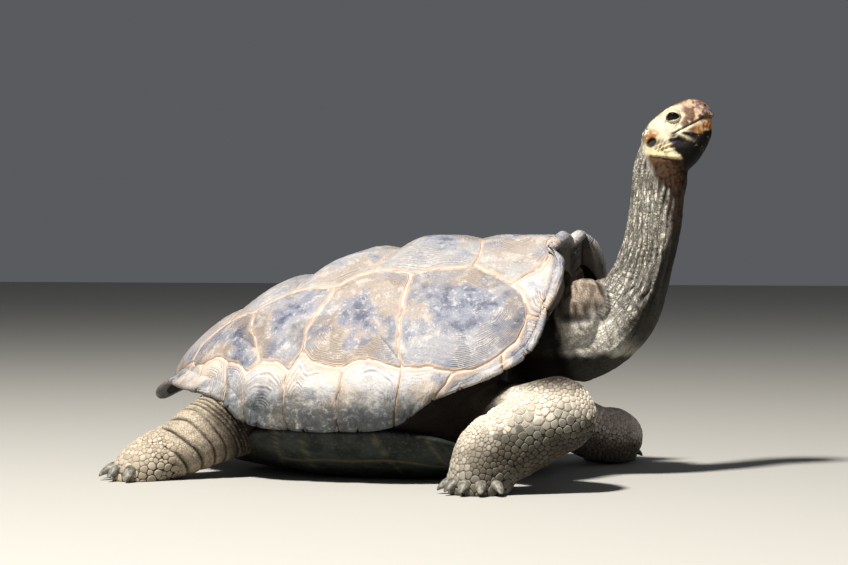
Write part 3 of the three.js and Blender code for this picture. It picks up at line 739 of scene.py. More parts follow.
# %% Seam finish
# Young horn and packed dust in the seams, which keep their cream colour as they are out of the wear.
seam_horn = Finish("young keratin in the seams", 0.8, 0.1, "#d8ccbd")
dust = seam_horn.noise(22, 4)
seam_horn.coat(dust.ramp(0.42, 0.6), "#9b8b7c")
# Painted shade: the seams darken toward the ground, and the shell's inner wall is nearly black.
seam_horn.coat(seam_horn.height().ramp(0.24, 0.13), "#3f3d37")
seam_horn.coat(seam_horn.layer("inner") * 0.97, "#231e1a")
seam_horn.close([shell_base], dust, 1.0, 0.6)

# %% [markdown]
# The belly plate is a shallow bowl that rests on the floor, with its own paired plates. Their seams
# are drawn as grooves in one sheet, since only a strip of it ever shows.
# %% Belly plate
BELLY_SEAMS = [(255, 0.25), (165, -0.1), (70, -0.15), (-185, 0.1), (-320, 0.3)]  # X in mm, how they bend


def belly(turn, share, lift):
    edge = curve(BELLY_EDGE, turn, closed=True)
    spot = mix(BELLY_CENTRE, edge, share[:, None])
    spot[:, 2] = edge[:, 2] * np.maximum(0, (share - 0.45) / 0.55) ** 2 + lift
    return spot


def belly_plate():
    around, turns = 300, np.arange(300) / 300
    rings, deep = [], []
    for share in np.linspace(0.02, 1, 84):
        spot = belly(turns, np.full(around, share), 0)
        x, y, wave = spot[:, 0] / MM, np.abs(spot[:, 1]) / MM, grain(spot, 0.06, 2.0)
        lines = [np.abs(x - place - bend * y - wave * 9) for place, bend in BELLY_SEAMS]
        lines.append(np.abs(spot[:, 1] / MM - wave * 6))
        lines.append(np.abs((share - 0.80) * 330 - wave * 8) + 300 * (np.abs(x + 30) > 240))
        groove = hump(np.min(lines, 0), 0, 3.2)
        flat = smooth(0.44, 0.52, share)
        spot[:, 2] += (0.3 + 1.6 * groove + 0.8 * np.maximum(0, grain(spot, 0.02, 5.0))) * MM * flat
        rings.append(spot)
        deep.append(groove)
    for share in np.linspace(0.985, 0.1, 12):
        rings.append(belly(turns, np.full(around, share), mix(26, 14, share ** 2) * MM))
        deep.append(np.zeros(around))
    top, foot = BELLY_CENTRE, BELLY_CENTRE + [0, 0, 26 * MM]
    return np.concatenate([[top], *rings, [foot]]), np.concatenate([[0], *deep, [0]]), len(rings), around


points, groove, rings, around = belly_plate()
quads, tris = ring_faces(points, rings, around)
belly_shell = new_piece("belly_plate", points + ORIGIN, quads, tris, {"groove": groove})
print("belly", len(quads) * 2, "triangles")

# %% Belly finish
# The belly's dark teal ground is painted shade, for a plate that lies under the shell; mud darkens it in
# patches, and scuffs and seams are lighter.
belly_horn = Finish("belly keratin", 0.7, 0.15, "#2a2f2c")
mud, scuff = belly_horn.noise(60, 5), belly_horn.noise(9, 5, 0.7, 3.0)
belly_horn.coat(mud.ramp(0.4, 0.62), "#171b1a")
belly_horn.coat(scuff.ramp(0.52, 0.68) * 0.5, "#4b4f45")
belly_horn.coat(belly_horn.layer("groove") * 0.6, "#5d5644")
belly_horn.close([belly_shell], scuff + mud, 1.5, 0.7)

# %% [markdown]
# The skin of neck, head, legs and tail is one surface. Each limb is swept along its own curve with
# oval sections, as in the frame, a little inside it. The sweeps overlap, and a voxel remesh joins
# them into one even sheet with no seam, which is then eased smooth where they meet.
# %% Limbs
LIMBS = {  # x, y, z, half width and half depth in millimetres; width runs along the across line
    "neck": ([0, 1, 0], [[230, 0, 285, 108, 108], [320, 0, 288, 122, 116], [402, 0, 308, 112, 108],
                         [472, 0, 358, 90, 94], [517, 0, 440, 74, 77], [537, 0, 520, 66, 69],
                         [547, 0, 610, 60, 63], [552, 0, 680, 58, 62], [562, 0, 745, 50, 54]]),
    "tail": ([0, 1, 0], [[-350, 0, 105, 52, 45], [-430, 0, 92, 42, 36], [-500, 12, 62, 30, 26],
                         [-552, 30, 34, 19, 17], [-590, 55, 16, 10, 9]]),
    "arm": ([0, 1, 0], [[170, -200, 180, 68, 64], [300, -258, 160, 64, 60], [400, -328, 163, 78, 74],
                        [427, -366, 161, 86, 82]]),
    "fore": ([0, 1, 0], [[427, -366, 161, 86, 82], [358, -398, 118, 82, 80], [304, -425, 80, 76, 78],
                         [284, -436, 28, 71, 69], [281, -438, -20, 66, 66]]),
    "far_fore": ([1, 0, 0], [[170, 205, 170, 74, 68], [245, 250, 116, 72, 64], [316, 290, 78, 70, 64],
                             [346, 345, 66, 72, 66], [330, 398, 54, 68, 62], [318, 425, 20, 66, 62],
                             [316, 430, -20, 62, 60]]),
    "hind": ([0, 1, 0], [[-240, -190, 150, 76, 72], [-345, -250, 130, 84, 84], [-405, -302, 98, 76, 76],
                         [-446, -346, 68, 66, 64], [-488, -378, 46, 66, 60], [-518, -398, 14, 70, 60],
                         [-526, -402, -24, 66, 56]]),
    "far_hind": ([0, 1, 0], [[-240, 190, 150, 76, 72], [-325, 252, 122, 80, 76], [-385, 306, 92, 74, 70],
                             [-430, 346, 68, 66, 62], [-470, 376, 46, 66, 58], [-496, 392, 14, 70, 60],
                             [-502, 396, -24, 66, 56]])}
SKIN_INSET = 1.5 * MM
SAMPLES = 240


def capped(rings):
    """Shares along a body, close at its ends, and how each ring is drawn in to a round cap."""
    t = (1 - np.cos(np.pi * np.arange(1, rings + 1) / (rings + 1))) / 2
    return t, (1 - np.abs(2 * t - 1) ** 8) ** (1 / 8)


# %% A limb and its measures
class Limb:
    """A limb's curve, with the frame and half sizes of its section at many places along it."""

    def __init__(self, across, stations):
        stations = np.array(stations, float) * MM
        t = np.linspace(0, 1, SAMPLES)
        self.spine, self.size = curve(stations[:, :3], t), curve(stations[:, 3:], t)
        along = np.gradient(self.spine, axis=0)
        self.along = along / np.linalg.norm(along, axis=1)[:, None]
        deep = np.cross(self.along, across)
        self.deep = deep / np.linalg.norm(deep, axis=1)[:, None]
        self.wide = np.cross(self.deep, self.along)
        steps = np.linalg.norm(np.diff(self.spine, axis=0), axis=1)
        self.way = np.concatenate([[0], np.cumsum(steps)])

    def locate(self, points):
        """Distance along, angle round and share of the section's radius of each point."""
        nearest = np.concatenate([((part[:, None] - self.spine[None]) ** 2).sum(-1).argmin(1)
                                  for part in np.array_split(points, max(1, len(points) // 8000))])
        off = points - self.spine[nearest]
        a = np.einsum("ij,ij->i", off, self.wide[nearest]) / self.size[nearest, 0]
        b = np.einsum("ij,ij->i", off, self.deep[nearest]) / self.size[nearest, 1]
        rest = np.einsum("ij,ij->i", off, self.along[nearest])
        past = np.where((nearest == 0) | (nearest == SAMPLES - 1), np.abs(rest), 0) / 0.07
        return self.way[nearest] + rest, np.arctan2(b, a), np.sqrt(a * a + b * b + past ** 2), nearest

    def body(self, around=48, rings=56):
        t, cap = capped(rings)
        at = np.clip((t * (SAMPLES - 1)).round().astype(int), 0, SAMPLES - 1)
        wide = self.wide[at] * ((self.size[at, 0] - SKIN_INSET) * cap)[:, None]
        deep = self.deep[at] * ((self.size[at, 1] - SKIN_INSET) * cap)[:, None]
        circle = disk(np.arange(around) / around)[None]
        rows = self.spine[at][:, None] + wide[:, None] * circle[..., :1] + deep[:, None] * circle[..., 1:]
        return np.concatenate([self.spine[:1], rows.reshape(-1, 3), self.spine[-1:]]), rings, around


limbs = {name: Limb(*spec) for name, spec in LIMBS.items()}
print("neck is", round(float(limbs["neck"].way[-1]), 3), "m long")

# %% [markdown]
# The head starts as a boxy loft along the skull, and the trunk as a bag that lines the shell from
# inside and comes down to the belly plate. Neither needs detail yet: the skin that joins them is
# what gets the shapes.
# %% Head block
HEAD_SECTIONS = np.array([  # along the skull, half width, top, underside, in millimetres
    [-84, 36, 6, -58], [-62, 49, 32, -86], [-32, 55, 43, -97], [0, 53, 47, -93],
    [30, 46, 46, -80], [54, 37, 43, -64], [74, 27, 33, -45], [88, 15, 14, -24]]) * MM


def head_place(local):
    """From the head's own lengths, along, side and up, to the plan."""
    local = np.asarray(local, float)
    return HEAD_PLACE + local[..., :1] * HEAD_ALONG + local[..., 1:2] * [0, 1, 0] + local[..., 2:3] * HEAD_UP


def head_local(points):
    off = points - HEAD_PLACE
    return np.stack([off @ HEAD_ALONG, off[:, 1], off @ HEAD_UP], -1)


def head_body(around=56, rings=60):
    t, cap = capped(rings)
    form = curve(HEAD_SECTIONS, t)
    turn = np.arange(around) / around * 2 * np.pi
    boxy = 0.975 * (np.abs(np.cos(turn)) ** 2.5 + np.abs(np.sin(turn)) ** 2.5) ** (-1 / 2.5)
    side = ((form[:, 1] - SKIN_INSET) * cap)[:, None] * (np.cos(turn) * boxy)[None]
    half = ((form[:, 2] - form[:, 3]) / 2 - SKIN_INSET) * cap
    up = ((form[:, 2] + form[:, 3]) / 2)[:, None] + half[:, None] * (np.sin(turn) * boxy)[None]
    rows = head_place(np.stack([np.repeat(form[:, :1], around, 1), side, up], -1))
    ends = head_place([[form[0, 0], 0, (form[0, 2] + form[0, 3]) / 2],
                       [form[-1, 0] + 3 * MM, 0, (form[-1, 2] + form[-1, 3]) / 2]])
    return np.concatenate([ends[:1], rows.reshape(-1, 3), ends[1:]]), rings, around


# %% Trunk block
FLESH = {"front": (0.76, 85), "side": (0.93, 0), "rear": (0.76, 30)}  # reach, and how far drawn in


def trunk_body(around=114):
    turns = np.arange(around) / around
    edge = curve(SHELL_EDGE, turns, closed=True)
    out = unit((edge - APEX) * [1, 1, 0])
    reach, drawn = by_facing(out, FLESH)

    def lining(share):
        deeper = mix(34, 12, smooth(0.5, 1, share / reach)) * MM
        return chart(disk(turns) * share[:, None], -mix(*THICK, share) - deeper)[0]

    rings = [lining(reach * s) for s in np.linspace(0.05, 1, 16)]
    foot = belly(turns, np.full(around, 0.93), 22 * MM)
    for s in np.linspace(0, 1, 16)[1:]:
        rings.append(mix(rings[15], foot, s) - out * (drawn * MM * np.sin(np.pi * s))[:, None])
    rings += [belly(turns, np.full(around, 0.93 * s), 28 * MM) for s in (0.75, 0.5, 0.25)]
    top = APEX - [0, 0, 38 * MM]
    return np.concatenate([[top], *rings, [BELLY_CENTRE + [0, 0, 30 * MM]]]), len(rings), around


def ball_body(centre, radii, around=40, rings=20):
    t = np.pi * np.arange(1, rings + 1) / (rings + 1)
    turn = np.arange(around) / around * 2 * np.pi
    rows = np.stack([np.sin(t)[:, None] * np.cos(turn), np.sin(t)[:, None] * np.sin(turn),
                     np.repeat(np.cos(t)[:, None], around, 1)], -1)
    points = np.concatenate([[[0, 0, 1]], rows.reshape(-1, 3), [[0, 0, -1]]])
    return np.array(centre) * MM + points * np.array(radii) * MM, rings, around


# %% [markdown]
# The blocks could be joined by Booleans, but the places where two limbs meet would stay sharp and
# uneven. So the overlapping blocks are remeshed in cubes of 4 mm, and the sheet is eased smooth.
# %% Join the flesh
VOXEL = 4.0 * MM
bodies = [*(limb.body() for limb in limbs.values()), head_body(), trunk_body(),
          ball_body((427, -366, 161), (80, 83, 80))]  # the last one is the point of the elbow
for side in (-1, 1):  # the slack bulges beside the neck's root
    bodies += [ball_body((408, 88 * side, 394), (54, 40, 48)), ball_body((386, 98 * side, 352), (54, 46, 56))]
blocks = [new_piece("block", body[0], *ring_faces(*body)) for body in bodies]
bpy.ops.object.select_all(action="DESELECT")
for block in blocks:
    block.select_set(True)
bpy.context.view_layer.objects.active = blocks[0]
bpy.ops.object.join()
skin = bpy.context.object
skin.name = skin.data.name = "skin"
remesh = skin.modifiers.new("remesh", "REMESH")
remesh.mode, remesh.voxel_size = "VOXEL", VOXEL
bpy.ops.object.modifier_apply(modifier="remesh")
ease = skin.modifiers.new("ease", "SMOOTH")
ease.factor, ease.iterations = 0.5, 7
bpy.ops.object.modifier_apply(modifier="ease")


def read_from(layer, key, wide=3):
    values = np.empty(len(layer) * wide, np.float32)
    layer.foreach_get(key, values)
    return values.reshape(-1, wide).astype(float)


def points_of(piece):
    return read_from(piece.data.vertices, "co")


def normals_of(piece):
    return read_from(piece.data.vertex_normals, "vector")


# %% [markdown]
# Skin that no one can see, inside the shell, is thinned hard in edit mode, first by region. After
# that a point is out of sight when every line from it strikes the shell, the belly or the skin.
# %% Thin what no one sees
def edit_where(piece, chosen, operation, **settings):
    """Runs an edit-mode operator on the chosen vertices only."""
    bpy.ops.object.select_all(action="DESELECT")
    bpy.context.view_layer.objects.active = piece
    piece.select_set(True)
    bpy.ops.object.mode_set(mode="EDIT")
    bpy.ops.mesh.select_mode(type="VERT")
    bpy.ops.mesh.select_all(action="DESELECT")
    bpy.ops.object.mode_set(mode="OBJECT")
    piece.data.vertices.foreach_set("select", chosen)
    bpy.ops.object.mode_set(mode="EDIT")
    operation(**settings)
    bpy.ops.object.mode_set(mode="OBJECT")


def placed(spots):
    """Each point's distance along, angle and share of the radius on every limb; its head place."""
    return {name: limb.locate(spots) for name, limb in limbs.items()}, head_local(spots)


def share_on(*names):
    """Share of the radius on the nearest of the named limbs, or of all: below 1 is inside."""
    return np.min([where[name][2] for name in names or limbs], 0)


spots = points_of(skin)
print("remeshed", len(spots), "points")
where, local = placed(spots)
on_head = (local[:, 0] > -0.075) & (np.abs(local[:, 1]) < 0.07) & (spots[:, 2] > 0.62)
hidden = (share_on() > 1.22) & ~on_head & (spots[:, 0] < 0.29) & (spots[:, 0] > -0.36)
edit_where(skin, hidden, bpy.ops.mesh.decimate, ratio=0.03)
print("after thinning the hidden trunk", len(skin.data.vertices), "points")


# %% Where the scales are
def scaly_share():
    """Where the skin is paved with scales: 1 on the fore legs and soles, 0 on the bare skin."""
    arm = smooth(0.15, 0.20, where["arm"][0]) * (where["arm"][2] < 1.25)
    fore = (where["fore"][2] < 1.3) * smooth(-0.06, -0.02, where["fore"][0])
    far = smooth(0.09, 0.14, where["far_fore"][0]) * (where["far_fore"][2] < 1.3)
    feet = [smooth(way - 0.085, way - 0.07, where[k][0]) * (where[k][2] < 1.3)
            for k, way in (("hind", 0.385), ("far_hind", 0.36))]
    return np.max([arm, fore, far, *feet], 0) * (share_on("neck", "tail") > 1.05) * (local[:, 0] < -0.12)


# %% Lines of sight
def sight_lines(count=26):
    """Directions spread evenly over a ball."""
    step = np.arange(count) + 0.5
    up = 1 - 2 * step / count
    turn = (1 + 5 ** 0.5) / 2 * step
    return np.c_[disk(turn) * np.sqrt(1 - up * up)[:, None], up]


def triangles_of(piece):
    piece.data.calc_loop_triangles()
    corners = np.empty(len(piece.data.loop_triangles) * 3, np.int32)
    piece.data.loop_triangles.foreach_get("vertices", corners)
    return corners.reshape(-1, 3)


def walls_of(pieces):
    """One search tree of the triangles of several pieces; each comes with its shift to the plan."""
    points, faces, count = [], [], 0
    for piece, shift in pieces:
        points.append(points_of(piece) + shift)
        faces.append(triangles_of(piece) + count)
        count += len(points[-1])
    return BVHTree.FromPolygons(np.concatenate(points).tolist(), np.concatenate(faces).tolist())


walls = walls_of([(shell_base, -ORIGIN), (belly_shell, -ORIGIN), (skin, 0 * ORIGIN)])
lines = sight_lines()
spots = points_of(skin)
where, local = placed(spots)
buried = np.zeros(len(spots), bool)
normals = normals_of(skin)
near_head = (local[:, 0] > -0.1) & (spots[:, 2] > 0.6)
trunk_only = np.flatnonzero((share_on() > 1.1) & ~near_head)
for k in trunk_only:
    start = Vector(spots[k] + normals[k] * 0.003)
    open_way = lines[lines @ normals[k] > 0.05]
    buried[k] = all(walls.ray_cast(start, Vector(line), 2.0)[0] is not None for line in open_way)
print("trunk points", len(trunk_only), "of which never seen", int(buried.sum()))
edit_where(skin, buried, bpy.ops.mesh.decimate, ratio=0.05)

# %% [markdown]
# Away from the viewer's side the bare skin needs fewer points, and so does the skin under the
# scales. The head is divided once more and the skin round the eyes twice, for the finest shapes.
# %% Spend points where they count
spots = points_of(skin)
where, local = placed(spots)
plain = (share_on() > 1.2) & (spots[:, 2] < 0.5) & ((spots[:, 1] > -0.1) | (spots[:, 2] < 0.1))
edit_where(skin, plain, bpy.ops.mesh.decimate, ratio=0.30)
spots = points_of(skin)
where, local = placed(spots)
edit_where(skin, scaly_share() > 0.95, bpy.ops.mesh.decimate, ratio=0.15)
print("after thinning under the scales", len(skin.data.vertices), "points")


def one_sided(local):
    """Head places with the animal's right half laid over its left."""
    return np.stack([local[:, 0], np.abs(local[:, 1]), local[:, 2]], -1)


EYE_PLACE = np.array([EYE["along"], EYE["side"], EYE["up"]])
spots = points_of(skin)
local = one_sided(head_local(spots))
on_head = (local[:, 0] > -0.07) & (local[:, 1] < 0.07) & (spots[:, 2] > 0.66)
edit_where(skin, on_head, bpy.ops.mesh.subdivide, number_cuts=1, smoothness=0)
from_eye = np.linalg.norm(one_sided(head_local(points_of(skin))) - EYE_PLACE, axis=1)
edit_where(skin, from_eye < 0.023, bpy.ops.mesh.subdivide, number_cuts=1, smoothness=0)
spots = points_of(skin)
where, local = placed(spots)
print("skin", len(spots), "points", len(triangles_of(skin)), "triangles")

# %% [markdown]
# A tortoise's skin is loose, and it folds where it has to give. Long folds run down the neck from
# the jaw, with short wrinkles across them; strong creases ring the hind legs; pleats hang round
# the root of each leg. Each fold is a narrow valley between broad ridges, drawn in the limb's own
# measures, so that it follows the limb round every bend.
# %% Folds of the neck
def valley(count, sharp=3.0):
    """1 in a narrow valley at each whole count, 0 on the broad ridge between."""
    return np.abs(np.cos(np.pi * count)) ** (2 * sharp)


def between(value, start, full, fading, gone):
    """1 from full to fading, softly down to 0 at start and at gone."""
    return smooth(start, full, value) * (1 - smooth(fading, gone, value))


def patches(scale, seed, low, high):
    """Broad patches of skin, 0 to 1, where a kind of fold shows."""
    return smooth(low, high, grain(spots, scale, seed))


def fold(millimetres, dark=0.0):
    """Pushes the skin in and paints shade into the fold."""
    sink[:] += millimetres
    crease[:] = np.maximum(crease, np.clip(dark, 0, 1))


def height_round(angle):
    """0 at the throat and 1 at the nape, the same on both sides."""
    return np.abs(np.mod(angle + np.pi / 2 + np.pi, 2 * np.pi) - np.pi) / np.pi


sink = np.zeros(len(spots))  # how far the skin is pushed in, in millimetres
# Painted shade in the folds and grooves, with the seams between the head's plates, 0 to 1.
crease = np.zeros(len(spots))  # what the eye reads as a dark line, 0 to 1
w_slow, w_mid, w_fine = grain(spots, 0.11, 1.0), grain(spots, 0.035, 5.0), grain(spots, 0.012, 8.0)
off_head = 1 - smooth(-0.088, -0.066, local[:, 0]) * (spots[:, 2] > 0.66)

way, angle, radius, _ = where["neck"]
nape = height_round(angle)
loose = 1 - smooth(1.08, 1.3, radius)
on_neck = loose * smooth(0.10, 0.17, way) * off_head
side_on, middle = smooth(0.18, 0.36, nape), smooth(0.27, 0.34, way)
long_fold = (valley(nape * 13.5 + w_slow * 1.1 + w_mid * 0.55, 1.7)
             * (0.45 + 0.55 * patches(0.05, 21.0, -0.3, 0.3)))
fine_fold = valley(nape * 36 + w_slow * 1.5 + w_mid * 1.1, 1.6) * patches(0.04, 31.0, -0.25, 0.25)
cross_fold = (valley(way / 0.0125 + w_slow * 2.2 + w_mid * 0.8 + nape * 1.5, 2.0)
              * patches(0.045, 41.0, -0.15, 0.35))
sweep = (valley((way - 0.085 * nape) / 0.027 + w_slow * 0.5, 14.0) * between(way, 0.18, 0.22, 0.30, 0.35)
         * between(nape, 0.28, 0.4, 0.55, 0.7))
strand = hump(nape, 0.325 + 0.02 * w_slow, 0.013) * between(way, 0.18, 0.24, 0.48, 0.54)
sides = (5.6 * long_fold * mix(0.12, 1.1, middle) + 1.5 * fine_fold * middle
         + 1.7 * cross_fold * mix(1.2, 0.5, smooth(0.36, 0.44, way)))
throat = 1.3 * valley(nape * 20 + w_slow, 1.5) + 0.9 * cross_fold
marks = (long_fold * mix(0.12, 1.0, middle) + 0.6 * cross_fold * mix(0.3, 1.0, middle)
         + 0.5 * fine_fold * middle)
fold(on_neck * (mix(throat, sides, side_on) + 3.2 * sweep - 3.2 * strand),
     on_neck * np.clip((side_on * marks + 0.85 * sweep) * (1 - strand), 0, 1))
# The throat is drawn in behind the jaw, and the skin hollows where the neck leaves the chest.
fold(9.0 * on_neck * (1 - smooth(0.05, 0.3, nape)) * between(way, 0.30, 0.40, 0.50, 0.58))
fold(24.0 * loose * (1 - smooth(0.02, 0.45, nape)) * between(way, 0.0, 0.14, 0.36, 0.50))
fold(14.0 * loose * (1 - smooth(0.105, 0.140, way)) * (1 - smooth(0.6, 0.75, nape)))

# %% [markdown]
# The hind legs have creases square to the bone, and pleats hang round the root of each limb, on
# the loose skin between it and the shell. The slack bulges beside the neck's root hang in a few
# upright folds, and the wrist, the inside of the elbow and the tail have their own.
# %% Folds of the body
for name, seed in (("hind", 51.0), ("far_hind", 61.0)):
    way, angle, radius, _ = where[name]
    on_leg = (1 - smooth(1.1, 1.3, radius)) * between(way, 0.11, 0.15, 0.325, 0.35)
    low = way + 0.026 * np.sin(angle)  # each crease runs nearer to the hip underneath
    thigh = 1 - smooth(0.185, 0.205, low)
    count = low / 0.031 + w_slow * 0.6 + 0.12 * np.sin(angle * 2 + seed)
    minor = valley(low / 0.0092 + w_slow + w_mid * 0.5, 1.4) * patches(0.05, seed, -0.2, 0.3) * (1 - thigh)
    major = valley(count, 11.0) * (0.6 + 0.4 * patches(0.07, seed + 3, -0.4, 0.2)) * (1 - thigh)
    ridge = np.sin(np.pi * count) ** 2 * (1 - thigh)
    pleats = valley(low / 0.0105 + w_slow * 0.5 + w_mid * 0.2, 1.6) * thigh
    fold(on_leg * (4.4 * major + 0.8 * minor - 1.0 * ridge + 4.0 * pleats),
         on_leg * np.clip(major + 0.25 * minor + pleats, 0, 1))

for name, scale in (("hind", 0.115), ("far_hind", 0.115), ("arm", 0.16), ("far_fore", 0.16),
                    ("neck", 0.13), ("tail", 0.3)):
    way, angle, radius, _ = where[name]
    near = between(radius, 1.08, 1.25, 2.0, 2.4) * (share_on() > 1.05) * (way < 0.32) * off_head
    near = near * (1 - smooth(0.29, 0.32, spots[:, 0]) * smooth(0.2, 0.24, spots[:, 2]))
    pleat = valley(radius / scale + w_slow * 0.9 + w_mid * 0.3, 2.4) * near
    fold(3.6 * pleat - 1.2 * near, 0.9 * pleat)


def bulge_share():
    """1 on the slack bulges of skin beside the neck's root."""
    ahead_and_up = smooth(0.29, 0.33, spots[:, 0]) * smooth(0.2, 0.24, spots[:, 2])
    return smooth(1.1, 1.3, where["neck"][2]) * ahead_and_up


# %% Folds of bulges, wrist and tail
drape = valley((spots[:, 0] + 0.25 * spots[:, 2]) / 0.019 + w_slow * 1.2 + w_mid * 0.5, 3.0)
drape = drape * patches(0.05, 101.0, -0.3, 0.2) * bulge_share() * off_head
fold(3.2 * drape, 0.8 * drape)
way, angle, radius, _ = where["fore"]
wrist = (hump(way + 0.02 * np.cos(angle) + 0.006 * w_mid, 0.125, 0.006) * (radius < 1.35)
         * smooth(-0.2, 0.5, np.cos(angle + 0.6)))
inside = 0.6 * hump(way, 0.155, 0.006) * (radius < 1.35)
fold(6.0 * wrist + 3.0 * inside, wrist + inside)
way, angle, radius, _ = where["tail"]
ring = valley(way / 0.016 + w_mid * 0.3, 2.0) * (radius < 1.3) * smooth(0.1, 0.14, way)
fold(1.6 * ring, 0.4 * ring)
fold((1.6 * w_mid + 0.8 * w_fine) * off_head)
spots = spots - normals_of(skin) * (sink * MM)[:, None]
print("deepest fold", round(float(sink.max()), 1), "mm")

# %% [markdown]
# The head is worked in its own lengths: along the skull, out to the side, and up. The lids are a
# thin ball of skin over the eye with an almond left open, the horny beak overhangs the lower jaw
# at the mouth line, and there is a nostril, an ear drum and the slack folds behind the jaw.
# %% Head shapes
local = head_local(spots)
along, side, up = one_sided(local).T
sign = np.sign(local[:, 1])
face = smooth(-0.082, -0.06, along) * (side < 0.075) * (spots[:, 2] > 0.64)
move = np.zeros_like(local)  # in millimetres
ahead, outward, upward = move.T


def spot_weight(place, radii):
    """1 at a place on the head, given in millimetres, and next to nothing two radii away."""
    off = [(way / MM - middle) / radius for way, middle, radius in zip((along, side, up), place, radii)]
    return np.exp(-(off[0] ** 2 + off[1] ** 2 + off[2] ** 2))


def mouth_height(a):
    """Height of the mouth line at a length along the skull, hooked down at the tip."""
    t = np.clip((a + 4 * MM) / (94 * MM), 0, 1)
    return (-15.5 - 1.5 * np.sin(np.pi * t) - 8.0 * smooth(0.78, 1.0, t)) * MM


# Broad forms first: temples in, cheek and brow out, muzzle and jaw drawn in below the brow.
for direction, amount, place, radii in (
        (outward, -5.0, (-8, 52, 30), (26, 20, 14)), (outward, 4.0, (-34, 56, -20), (20, 20, 26)),
        (upward, 3.0, (16, 30, 42), (20, 14, 12)), (outward, 2.5, (16, 40, 36), (20, 12, 10)),
        (outward, -5.5, (50, 40, 14), (20, 14, 20)), (outward, -3.5, (34, 44, -40), (30, 20, 16))):
    direction += amount * spot_weight(place, radii)
upward -= 2.5 * hump(side, 0, 0.006) * smooth(0.02, 0.05, along) * (up > 0)

# The ear drum: an oval dish behind the jaw's hinge.
ear_r = np.hypot((along + 0.051) / 0.012, (up + 0.009) / 0.0085)
ear = (1 - smooth(0.7, 1.1, ear_r)) * (side > 0.03)
outward += 1.6 * hump(ear_r, 1.35, 0.25) * (side > 0.03) - 4.5 * ear

# The mouth: a groove, with the upper beak's edge standing out over the lower jaw.
line = mouth_height(along)
below = (line - up) / MM
run = smooth(-0.008, 0.004, along) * (up > -0.06)
front_on = smooth(0.05, 0.075, along)
groove = hump(below, 0.5, mix(1.5, 2.3, smooth(0.03, 0.06, along))) * run
lip = hump(below, -3.2, 2.2) * run
jaw = between(below, 0.5, 5.0, 24, 40) * run
gums = hump(below, 9, 6.0) * between(along, 0.005, 0.02, 0.06, 0.08)
hollow = hump(along, -0.004, 0.013) * hump(up, -0.034, 0.009) * (side > 0.02)
outward += lip * 1.6 + gums * 2.5 - groove * 4.6 * (1 - front_on * 0.6) - jaw * 3.0 - hollow * 5.0
ahead += (lip * 1.8 - groove * 4.0 - jaw * 4.0) * front_on

# Nostrils, close together at the tip of the snout.
nostril = spot_weight((86, 8.5, 5.5), (9, 3.4, 2.8))
ahead += 1.2 * spot_weight((86, 9, 9.5), (9, 6, 2.4)) - nostril * 6.0

# %% [markdown]
# Slack folds slant back from the corner of the mouth, and a level roll of skin closes the jaw off
# from the throat. It climbs to the nape behind the ear.
# %% Slack skin behind the jaw
level = (along * math.sin(HEAD_PITCH) + up * math.cos(HEAD_PITCH)) / MM
reach_out = (along * math.cos(HEAD_PITCH) - up * math.sin(HEAD_PITCH)) / MM
roll_line = np.interp(reach_out, [-80, -36, -17, 24, 40], [-38, -59, -61, -65, -68]) + 2.0 * w_mid + w_fine
slant = along * 0.60 - up * 0.80
cheek_zone = spot_weight((14, 48, -5), (15, 30, 9)) * 0.6
fold_zone = spot_weight((-38, 52, -27), (17, 40, 17)) * (up < line + 0.004)
jowl = valley(slant / (7.6 * MM) + w_mid * 0.3, 1.8) * np.maximum(fold_zone, cheek_zone * (up > line))
roll_on = smooth(-82, -70, reach_out) * (1 - smooth(20, 27, reach_out + 3 * w_mid))
fat = mix(0.4, 1.0, smooth(-46, -36, reach_out))
split = hump(reach_out, -4, 3.0) + 0.7 * hump(reach_out, -22, 2.5)
roll = hump(level, roll_line, 2.2 + 2.6 * fat) * fat * (1 - 0.7 * split) * roll_on
strands = [size * hump(level, roll_line + 3 + slope * (reach_out - foot), 3.0)
           * between(reach_out, foot - 6, foot + 4, tip - 6, tip + 2)
           for foot, slope, tip, size in ((-38, 0.55, 8, 1.0), (-46, 0.72, -12, 0.8), (-54, 0.30, -34, 0.5),
                                          (-30, 0.30, 14, 0.7))]
nape_line = np.interp(reach_out, [-80, -36], [-54, -60])
strands.append(0.6 * hump(level, nape_line, 2.2) * between(reach_out, -84, -74, -40, -32))
roll2 = np.max(strands, 0)
neck_ring = hump(level, roll_line - 7.5, 3.2) * roll_on * fat
finger = (hump((along - 0.017) * 0.81 + (up + 0.033) * 0.59, 0, 3.2 * MM)
          * hump((along - 0.017) * 0.59 - (up + 0.033) * 0.81, 0, 14 * MM))
corner = spot_weight((-2, 48, -21), (7, 14, 5))
outward += ((roll * 4.6 + roll2 * 3.2) * smooth(0.005, 0.03, side) - jowl * 4.2 - neck_ring * 2.6
            + finger * 2.2 * (side > 0.02) - corner * 3.0)


# %% Horny plates of the head
def cell_lines(size, width):
    """1 on the lines between the cells of a pattern, its cells about size across."""
    near = np.array([noise.voronoi(Vector(p) / size, distance_metric="DISTANCE")[0][:2] for p in local])
    return hump(near[:, 1] - near[:, 0], 0, width)


